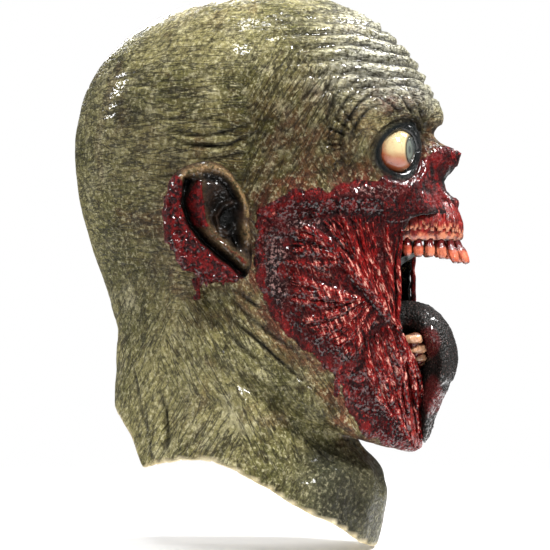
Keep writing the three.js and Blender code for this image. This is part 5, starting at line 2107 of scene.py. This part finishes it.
    def add_drips(self, draft: MeshDraft, side: Side, centre: np.ndarray) -> None:
        """Adds torn shreds that hang from the rear rim."""
        turned, raised, out = self.axes(side)
        rng = np.random.default_rng(33 + side.value)
        for ahead, up in ((-27, -10), (-23, -22), (-12, -33), (-10, -35), (2, -36), (-28, 12)):
            start = centre + ahead * 0.9 * turned + up * raised + 8.0 * out
            share = np.linspace(0, 1, 12)[:, None]
            drop = rng.uniform(3, 7)
            sway = rng.normal(0, 1.2, 2)
            swing = share**2 * (sway[0] * turned + (sway[1] - 1) * out)
            line = start - share * drop * np.array([0, 0, 1]) + swing
            radius = rng.uniform(1.6, 2.6) * (1 - 0.75 * share[:, 0]) * (1 + 0.25 * lattice_noise(line, 2, 5))
            add_tube(draft, line, radius, 9, lobe=(0.1, 1, 0))


# ------------------------------------------------------------------ the mouth

Relief = Callable[[np.ndarray], np.ndarray]


def refined(node: str, name: str, voxel: float, relief: Relief, soften: int = 4) -> bpy.types.Object:
    """Makes a fine copy of a node's solid, with its own relief.

    Args:
        node: The CAD node.
        name: The new piece's name.
        voxel: The size of its new faces in millimetres.
        relief: Gives how far each place goes out, in millimetres.
        soften: How many times the copy is smoothed first.

    Returns:
        The new object.
    """
    piece = bpy.data.objects.new(name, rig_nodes()[node].data.copy())
    bpy.context.scene.collection.objects.link(piece)
    remesh = piece.modifiers.new("fine", "REMESH")
    remesh.mode = "VOXEL"
    remesh.voxel_size = voxel / 1000
    soft = piece.modifiers.new("soft", "SMOOTH")
    soft.iterations = soften
    graph = bpy.context.evaluated_depsgraph_get()
    mesh = bpy.data.meshes.new_from_object(piece.evaluated_get(graph))
    piece.modifiers.clear()
    piece.data = mesh
    places, normals = mesh_places(mesh)
    moved = (places + relief(places)[:, None] * normals) * FLIP / 1000
    mesh.vertices.foreach_set("co", moved.astype(np.float32).ravel())
    mesh.polygons.foreach_set("use_smooth", np.ones(len(mesh.polygons), bool))
    mesh.update()
    return piece


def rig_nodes() -> dict[str, bpy.types.Object]:
    """The frame's CAD nodes by name."""
    return {o["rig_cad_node"]: o for o in bpy.data.objects if "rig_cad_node" in o}


def mesh_places(mesh: bpy.types.Mesh) -> tuple[np.ndarray, np.ndarray]:
    """A mesh's points as places in millimetres, and their normals in the same directions."""
    count = len(mesh.vertices)
    points, normals = np.zeros(count * 3, np.float32), np.zeros(count * 3, np.float32)
    mesh.vertices.foreach_get("co", points)
    mesh.vertex_normals.foreach_get("vector", normals)
    return points.reshape(-1, 3) * 1000 * FLIP, normals.reshape(-1, 3) * FLIP


def mark(piece: bpy.types.Object, name: str, values: np.ndarray) -> None:
    """Keeps three numbers at each of a piece's points."""
    attribute = piece.data.attributes.new(name, "FLOAT_VECTOR", "POINT")
    attribute.data.foreach_set("vector", values.astype(np.float32).ravel())


def node_middle(node: str) -> np.ndarray:
    """The middle of a node's box as a place in millimetres."""
    low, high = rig.box(node)
    return np.array((low + high) / 2) * 1000 * FLIP


@dataclass
class Jaw:
    """A gum and its teeth, with the torn fibres that hold them to the face.

    The fibres run from the roots line to the ends line, which are halves of arches: places from the
    jaw's middle to its rear on the left side. upright is 1 where the teeth stand up and -1 where they
    hang. sunk lowers the fibres under the tongue, and grow thickens the teeth.
    """

    name: str
    per_side: int
    upright: int
    roots: tuple[tuple[float, float, float], ...]
    ends: tuple[tuple[float, float, float], ...]
    fibres: int = 90
    swell: float = 1.5
    sunk: float = 0.0
    grow: float = 0.0
    voxel: float = 0.7
    tooth_voxel: float = 0.42

    def add_fibres(self) -> bpy.types.Object:
        """Makes the torn fibres as one mesh."""
        draft = MeshDraft()
        rng = np.random.default_rng(len(self.name) + self.per_side)
        for at in range(self.fibres * 2):
            where = rng.uniform(-1, 1)
            flip = np.array([1 if where > 0 else -1, 1, 1])
            start = spline(self.roots, np.array([abs(where)]))[0] * flip
            drift = np.clip(abs(where) + rng.normal(0, 0.03), 0, 1)
            stop = spline(self.ends, np.array([drift]))[0] * flip
            share = np.linspace(0, 1, 14)[:, None]
            reach = rng.uniform(0.75, 1.06)
            line = start + (stop - start) * share * reach
            out = np.array([line[-1][0] * 0.8, 24.0, 0])
            out /= np.linalg.norm(out)
            bow = self.swell * np.sin(math.pi * share * 0.8) * rng.uniform(0.3, 1.2)
            bow = bow - self.sunk * smooth(28, 23, np.abs(line[:, :1]))
            line = line + bow * out + 0.5 * lattice_noise(line + at, 5, at % 17)[:, None] * out
            width = rng.uniform(0.6, 1.35)
            radius = width * (0.5 + 0.5 * np.sin(math.pi * (0.1 + 0.78 * share[:, 0])))
            if self.upright < 0:
                ridge = smooth(0.66, 1.0, share[:, 0]) * 0.85
            else:
                ridge = 0.3 * rng.uniform() + 0 * share[:, 0]
            red = rng.uniform(0, 0.5)
            values = np.stack([ridge, np.full(14, red) * (1 - ridge), ridge * 0], axis=1)
            add_tube(draft, line, radius * (1 + 0.2 * lattice_noise(line, 2.5, 3)), 7, ridge=values)
        return draft.build(f"{self.name}_gum_fibres")

    def teeth(self) -> list[str]:
        """The names of its tooth nodes."""
        sides = [side.label for side in Side]
        return [f"{self.name}_tooth_{side}_{at}" for side in sides for at in range(1, self.per_side + 1)]

    def build(self) -> None:
        """Makes the gum and every tooth."""
        roots = np.array([node_middle(tooth) for tooth in self.teeth()])
        low, high = (np.array(corner) * 1000 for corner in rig.box(f"{self.name}_gum"))

        def scallop(places: np.ndarray) -> np.ndarray:
            """How much a place lies over a tooth's root."""
            flat = places[:, None, :2] - roots[None, :, :2]
            return np.exp(-np.min((flat**2).sum(axis=2), axis=1) / 14)

        def relief(places: np.ndarray) -> np.ndarray:
            """Swells over the roots, torn fibres and pits."""
            torn = rough_noise(places * np.array([1, 1, 0.6]), 3.2, 3, 50)
            return 0.9 * scallop(places) - 0.5 + 0.55 * torn

        gum = refined(f"{self.name}_gum", f"{self.name}_gum_flesh", self.voxel, relief)
        places, _ = mesh_places(gum.data)
        share = np.clip((places[:, 2] - low[2]) / (high[2] - low[2]), 0, 1)
        share = share if self.upright > 0 else 1 - share
        ridge = smooth(0.35, 0.75, share) * (0.35 + 0.65 * scallop(places))
        # Painted shade in the gum's torn pits.
        cavity = smooth(-0.1, -0.9, rough_noise(places, 3.2, 3, 50))
        mark(gum, "ridge", np.stack([ridge, cavity, share], axis=1))
        finish_piece(gum, GumFinish().make(), "gum", [f"{self.name}_gum"])
        finish_piece(self.add_fibres(), gum.data.materials[0], "gum", [f"{self.name}_gum"])
        finish = ToothFinish().make()
        for at, tooth in enumerate(self.teeth()):
            self.build_tooth(at, tooth, finish)

    def build_tooth(self, at: int, node: str, finish: bpy.types.Material) -> None:
        """Makes one tooth.

        Args:
            at: Its number in the row, which picks its wear.
            node: Its CAD node.
            finish: Its material.
        """
        low, high = (np.array(corner) * 1000 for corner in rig.box(node))
        rng = np.random.default_rng(400 + at)
        chips = rng.uniform(0.2, 0.8)

        def share_of(places: np.ndarray) -> np.ndarray:
            """From 0 at the root to 1 at the biting edge."""
            share = (places[:, 2] - low[2]) / (high[2] - low[2])
            return np.clip(share if self.upright > 0 else 1 - share, 0, 1)

        def relief(places: np.ndarray) -> np.ndarray:
            """A waist at the neck, soft facets, and a chipped edge."""
            share = share_of(places)
            waist = -0.55 * bell(share - 0.38, 0.12)
            chip = -chips * smooth(0.8, 1.0, share) * smooth(0.0, 0.6, lattice_noise(places, 2.2, at))
            return waist + chip + 0.16 * rough_noise(places, 3.0, 3, at + 3) + self.grow

        piece = refined(node, f"{node}_worn", self.tooth_voxel, relief, 3)
        places, _ = mesh_places(piece.data)
        share = share_of(places)
        clean = np.full(len(share), 0.8 if self.upright > 0 else rng.uniform(0.0, 0.22))
        neck = smooth(0.62, 0.2, share) if self.upright > 0 else smooth(0.85, 0.3, share)
        values = np.stack([neck, smooth(0.8, 1.0, share), clean], axis=1)
        mark(piece, "crown", values)
        finish_piece(piece, finish, "tooth", [node])


@dataclass
class Tongue:
    """A thick tongue that hangs over the lower teeth, with two swollen lobes."""

    path: tuple[tuple[float, float, float, float], ...] = (
        (88, -207, 19, 11), (97, -206, 20, 11.5), (106, -208, 22, 10), (114.5, -217, 25, 8),
        (119.5, -229, 26.5, 6), (120, -240, 26.5, 5.5), (117, -250, 25.5, 4.8), (112.5, -259, 23, 4),
        (109.5, -270, 18, 3.2), (107.5, -280, 12, 2.6), (106, -287, 8, 2.2),
    )  # fmt: skip
    start: float = 77
    under: tuple[float, ...] = (0, 0, 0, 1, 3, 6.5, 9, 8, 5, 2.5, 1, 0)
    red_lobes: tuple[tuple[float, ...], ...] = ((110, -222, 9, 11, 1.1), (113, -255, 7, 14, 1.1))
    rows: int = 170
    columns: int = 120

    def build(self) -> None:
        """Makes the tongue."""
        knots = np.array([(self.start + 1, -207.5, 17, 9.5), *self.path])
        share = np.linspace(0, 1, self.rows)
        line = np.stack([spline(knots[:, [k, k, k]], share)[:, 0] for k in range(4)], axis=1)
        tangent = np.gradient(line[:, :2], axis=0)
        tangent /= np.linalg.norm(tangent, axis=1, keepdims=True)
        up = np.stack([-tangent[:, 1], tangent[:, 0]], axis=1)
        angle = ring_angles(self.columns)
        end = np.sqrt(np.clip(1 - smooth(0.9, 1.0, share) ** 2 * 0.96, 0, 1))
        begin = np.sqrt(np.clip(1 - smooth(0.03, 0.0, share) ** 2 * 0.9, 0, 1))
        wide = (line[:, 2] * end * begin)[:, None] * bowed(np.cos(angle), 0.9)
        ripple = 1 + 0.05 * np.sin(share * 26)[:, None] * np.abs(np.cos(angle)) ** 3
        wide = wide * ripple
        top = np.sin(angle) > 0
        groove = 0.34 * bell(np.cos(angle), 0.22) * top
        thick = (line[:, 3] * end * begin)[:, None] * np.sin(angle) * (1 - groove)
        belly = spline(np.array(self.under)[:, None] * np.ones(3), share)[:, :1] * end[:, None]
        thick = thick + belly * np.minimum(np.sin(angle), 0) * np.exp(-((wide / 20) ** 4))
        lobes = bell(share - 0.44, 0.13) + bell(share - 0.78, 0.12)
        crease = bell(share - 0.62, 0.018)
        side_swell = bell(np.abs(np.cos(angle)) - 0.62, 0.3) * top
        thin_end = np.minimum(line[:, 3] / 6, 1)[:, None]
        thick = thick + (1.6 * lobes - 1.5 * crease)[:, None] * side_swell * thin_end
        ahead = line[:, 0, None] + up[:, 0, None] * thick
        height = line[:, 1, None] + up[:, 1, None] * thick
        grid = np.stack([wide, ahead, height], axis=-1)
        padded = np.concatenate([grid[:, -2:], grid, grid[:, :2]], axis=1)
        normal = grid_normals(padded)[:, 2:-2]
        if (normal[60] * (grid[60] - grid[60].mean(axis=0))).sum() < 0:
            normal = -normal
        buds = np.abs(lattice_noise(grid, 1.5, 6)) + 0.6 * np.abs(lattice_noise(grid, 0.9, 8))
        bumpy = 0.5 * buds - 0.35 + 0.5 * rough_noise(grid, 8, 2, 4)
        grid = grid + (bumpy * smooth(0.02, 0.1, share)[:, None])[..., None] * normal
        lobe = strongest(grid[..., 1:], self.red_lobes, 1.5)
        # Painted shade in the crease between the lobes and in the middle groove.
        deep = np.clip(crease[:, None] * side_swell + 0.7 * groove / 0.34, 0, 1) * 0.9
        draft = MeshDraft()
        step = np.arange(self.columns)
        ends = [step[None, ::-1], ((self.rows - 1) * self.columns + step)[None]]
        values = np.stack([lobe, deep, lobe * 0], axis=-1)
        draft.add(grid, [grid_quads(self.rows, self.columns, True), *ends], papilla=values)
        finish_piece(draft.build("tongue_flesh"), TongueFinish().make(), "tongue", ["tongue"], TONGUE)


@dataclass
class MouthSleeve:
    """The dark sleeve behind the teeth, and the see-through mesh at its back."""

    wall: float = 1.2
    front_top: float = 106
    front_sides: float = 80
    front_half: tuple[float, float] = (29, 33)
    front_middle: float = -195
    flare: float = 16.5
    back_forward: float = 72.5
    back_half: tuple[float, float] = (25, 27)
    back_middle: float = -196
    thread: float = 0.47
    pitch: float = 1.7
    screen_power: float = 2.8  # the screen is rounder than a box and squarer than an oval
    columns: int = 160
    rows: int = 44

    def build(self) -> None:
        """Makes the sleeve and the mesh."""
        count = self.columns
        angle = ring_angles(count)
        share = np.linspace(0, 1, self.rows)[:, None]
        across, above = bowed(np.cos(angle), 0.72), bowed(np.sin(angle), 0.72)
        half_wide = self.back_half[0] + (self.front_half[0] - self.back_half[0]) * share
        half_tall = self.back_half[1] + (self.front_half[1] - self.back_half[1]) * share
        middle = self.back_middle + (self.front_middle - self.back_middle) * share
        front = self.front_sides + (self.front_top - self.front_sides) * np.abs(np.sin(angle)) ** 2.2
        ahead = self.back_forward + (front - self.back_forward) * share
        flare = smooth(0.82, 1.0, share) * np.abs(np.cos(angle)) ** 1.2
        half_wide = half_wide + self.flare * flare
        ahead = ahead - 3.0 * flare
        base = np.stack([half_wide * across, ahead, middle + half_tall * above], axis=-1)
        ridges = 0.7 * np.sin(ahead * 1.1 + 1.5 * np.cos(3 * angle)) * smooth(0.2, 0.8, np.sin(angle))
        sink = 0.5 + 0.5 * (ridges + 0.7 * rough_noise(base, 9, 3, 2))
        inward = -np.stack([across, np.zeros(count), above], axis=-1)
        inward /= np.linalg.norm(inward, axis=-1, keepdims=True)
        outer = base + inward * 0.1
        inner = base + inward * (self.wall + np.clip(sink, 0, 1.6))[..., None]
        grid = np.concatenate([outer, inner[::-1], outer[:1]])
        draft = MeshDraft()
        draft.add(grid, [grid_quads(len(grid), count, True)])
        sleeve = merged(draft.build("mouth_sleeve"))
        finish_piece(sleeve, DarkFinish("mouth_dark").make(), "lining", ["mouth_lining"])
        self.build_mesh()

    def build_mesh(self) -> None:
        """Makes the woven mesh from its threads."""
        low, high = (np.array(corner) * 1000 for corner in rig.box("mouth_screen"))
        back, front = -high[1], -low[1]
        half = np.array([high[0] - low[0], high[2] - low[2]]) / 2 - 1.0
        middle = (high[2] + low[2]) / 2
        power = self.screen_power
        draft = MeshDraft()
        for axis in (0, 1):
            other = 1 - axis
            count = int(half[axis] / self.pitch)
            for at in range(-count, count + 1):
                place = at * self.pitch
                reach = half[other] * (1 - abs(place / half[axis]) ** power) ** (1 / power)
                if reach < 2:
                    continue
                run = np.linspace(-reach, reach, max(int(reach / 0.85), 4))
                weave = 0.22 * (1 if (at + axis) % 2 else -1) * np.cos(run * math.pi / self.pitch)
                dome = (1 - (run / half[other]) ** 2) * (1 - (place / half[axis]) ** 2)
                ahead = back + 0.7 + (front - back - 1.4) * np.clip(dome, 0, 1) + weave
                fixed = np.full_like(run, place)
                sides = (fixed, run) if axis == 0 else (run, fixed)
                line = np.stack([sides[0], ahead, middle + sides[1]], axis=1)
                add_tube(draft, line, np.full(len(run), self.thread), 4)
        angle = np.linspace(0, 2 * math.pi, 90)
        across = bowed(np.cos(angle), 2 / power) * half[0]
        above = bowed(np.sin(angle), 2 / power) * half[1]
        ring = np.stack([across, np.full(90, back + 0.9), middle + above], axis=1)
        add_tube(draft, ring, np.full(90, 0.8), 8)
        finish = DarkFinish("mesh_black", rgb(6, 7, 7), rgb(26, 28, 27), 500)
        finish_piece(draft.build("breathing_mesh"), finish.make(), "screen", ["mouth_screen"])


@dataclass
class EyeCups:
    """The latex cups that hold the eyeballs from behind."""

    voxel: float = 0.8

    def build(self, side: Side) -> None:
        """Makes one cup, with the brush marks of its casting."""

        def relief(places: np.ndarray) -> np.ndarray:
            """The marks of the brush."""
            return 0.12 * rough_noise(places, 5, 3, 3)

        node = f"{side.label}_eye_cup"
        piece = refined(node, f"eye_cup_{side.label}_cast", self.voxel, relief, 2)
        finish_piece(piece, RawLatexFinish().make(), "cup", [node])


# ------------------------------------------------------------------ the studio


@dataclass
class Studio:
    """A white floor and surround, soft lights, and the camera."""

    azimuth: float = math.radians(-80)
    distance: float = 1.4
    lens: float = 140
    aim: tuple[float, float] = (0.0079, -0.1788)
    floor_radius: float = 3.0

    def lamp(
        self, name: str, azimuth: float, elevation: float, distance: float, size: float, power: float
    ) -> None:
        """Adds a soft lamp.

        Args:
            name: Its name.
            azimuth: Where it stands, in degrees round from the front towards the left.
            elevation: Its height, in degrees.
            distance: How far off it is, in metres.
            size: Its width, in metres.
            power: Its power, in watts.
        """
        light = bpy.data.lights.new(name, "AREA")
        light.shape, light.size, light.size_y, light.energy = "RECTANGLE", size, size * 1.3, power
        lamp = bpy.data.objects.new(name, light)
        bpy.context.scene.collection.objects.link(lamp)
        turn, rise = math.radians(azimuth), math.radians(elevation)
        away = Vector((math.sin(turn) * math.cos(rise), -math.cos(turn) * math.cos(rise), math.sin(rise)))
        middle = Vector((0, 0, -0.16))
        lamp.location = middle + away * distance
        lamp.rotation_mode = "QUATERNION"
        lamp.rotation_quaternion = (-away).to_track_quat("-Z", "Y")
        lamp.visible_camera = False

    def build_floor(self, height: float) -> None:
        """Makes the floor, which fades into the surround."""
        count = 96
        angle = ring_angles(count)
        rings = np.array([1e-5, 0.2, 0.5, 1.0, 2.0, self.floor_radius]) * 1000
        grid = rings[:, None, None] * np.stack([np.cos(angle), np.sin(angle), angle * 0], axis=-1)
        draft = MeshDraft()
        draft.add(grid + np.array([0, 0, height * 1000]), [grid_quads(len(rings), count, True)])
        floor = draft.build("studio_floor")
        shade = Shade("floor_white")
        place = self.radius(shade)
        colour = shade.mix(shade.noise(8, 2), (0.86, 0.86, 0.86, 1), (0.9, 0.9, 0.9, 1))
        material = shade.finish(colour, 0.8, Alpha=place.step(0.62, 0.2))
        floor.data.materials.append(material)
        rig.stage(floor)

    @staticmethod
    def radius(shade: Shade) -> Wire:
        """The distance from the upright axis."""
        flat = shade.node("VectorMath", {"operation": "MULTIPLY"}, {0: shade.place, 1: (1.0, 1.0, 0.0)})
        return shade.node("VectorMath", {"operation": "LENGTH"}, {0: flat}, "Value")

    def build_world(self) -> None:
        """Makes the white surround, brighter to the camera than it lights."""
        world = bpy.data.worlds.new("studio")
        world.use_nodes = True
        tree = world.node_tree
        background = tree.nodes["Background"]
        background.inputs["Color"].default_value = (1, 1, 1, 1)
        path = tree.nodes.new("ShaderNodeLightPath")
        strength = tree.nodes.new("ShaderNodeMapRange")
        strength.inputs["To Min"].default_value = 0.15
        strength.inputs["To Max"].default_value = 1.0
        tree.links.new(path.outputs["Is Camera Ray"], strength.inputs["Value"])
        tree.links.new(strength.outputs[0], background.inputs["Strength"])
        bpy.context.scene.world = world

    def build_camera(self) -> None:
        """Makes the camera."""
        data = bpy.data.cameras.new("camera")
        data.lens, data.sensor_width, data.clip_start = self.lens, 36, 0.05
        camera = bpy.data.objects.new("camera", data)
        bpy.context.scene.collection.objects.link(camera)
        away = Vector((math.sin(self.azimuth), -math.cos(self.azimuth), 0))
        right = Vector((math.cos(self.azimuth), math.sin(self.azimuth), 0))
        camera.location = right * self.aim[0] + Vector((0, 0, self.aim[1])) + away * self.distance
        camera.rotation_mode = "QUATERNION"
        camera.rotation_quaternion = (-away).to_track_quat("-Z", "Y")
        bpy.context.scene.camera = camera

    def build(self, floor_height: float) -> None:
        """Makes the whole studio."""
        self.build_camera()
        self.build_world()
        self.build_floor(floor_height)
        self.lamp("key", -92, 46, 1.5, 0.22, 8)
        self.lamp("front", -34, 44, 1.4, 0.24, 31)
        self.lamp("top", -80, 84, 1.3, 0.36, 11)
        self.lamp("far", 110, 30, 1.5, 0.5, 15)
        self.lamp("rear", -174, 20, 1.4, 0.26, 15)
        self.lamp("brow", 34, 48, 1.5, 0.4, 27)
        bpy.context.scene.view_settings.view_transform = "Standard"
        bpy.context.scene.view_settings.look = "None"


def corners(box: tuple[Vector, Vector]) -> list[list[float]]:
    """A box as plain lists of numbers."""
    return [list(corner) for corner in box]


def main() -> None:
    """Builds every sub-assembly in order and writes the two boxes."""
    logging.basicConfig(level=logging.INFO, format="%(message)s")
    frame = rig.load()
    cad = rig.bounds()
    LOG.info("frame of %d nodes and %d bodies", len(frame["nodes"]), len(frame["bodies"]))
    Studio().build(cad[0].z - 0.001)
    form, eye = HeadForm(), Eye()
    hood = Hood(form, eye)
    _, chart = hood.build()
    for side in Side:
        eye.build(side)
        EyeCups().build(side)
        Cheek(form, chart, hood.mouth).build(side)
        Ear().build(side)
    upper_roots = ((0, 125, -131), (13, 122, -132), (23, 111, -133), (28, 98, -135), (29, 88, -137))
    upper_ends = ((0, 129.5, -152), (15, 126, -151), (26, 113, -150), (31, 100, -150), (31, 90, -150))
    lower_roots = ((0, 103, -242), (10, 102, -240), (19, 98, -230), (25, 91, -217), (26, 84, -205))
    lower_ends = ((0, 105, -288), (9, 105, -288), (18, 103, -286), (25, 99, -276), (30, 92, -262))
    Jaw("upper", 6, -1, upper_roots, upper_ends, 130).build()
    Jaw("lower", 4, 1, lower_roots, lower_ends, 110, 1.6, sunk=3.2, grow=1.3).build()
    Tongue().build()
    MouthSleeve().build()
    with open("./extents.json", "w", encoding="utf-8") as file:
        json.dump({"cad": corners(cad), "visual": corners(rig.bounds())}, file)
    LOG.info("cad %s visual %s", corners(cad), corners(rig.bounds()))


if __name__ == "__main__":
    main()
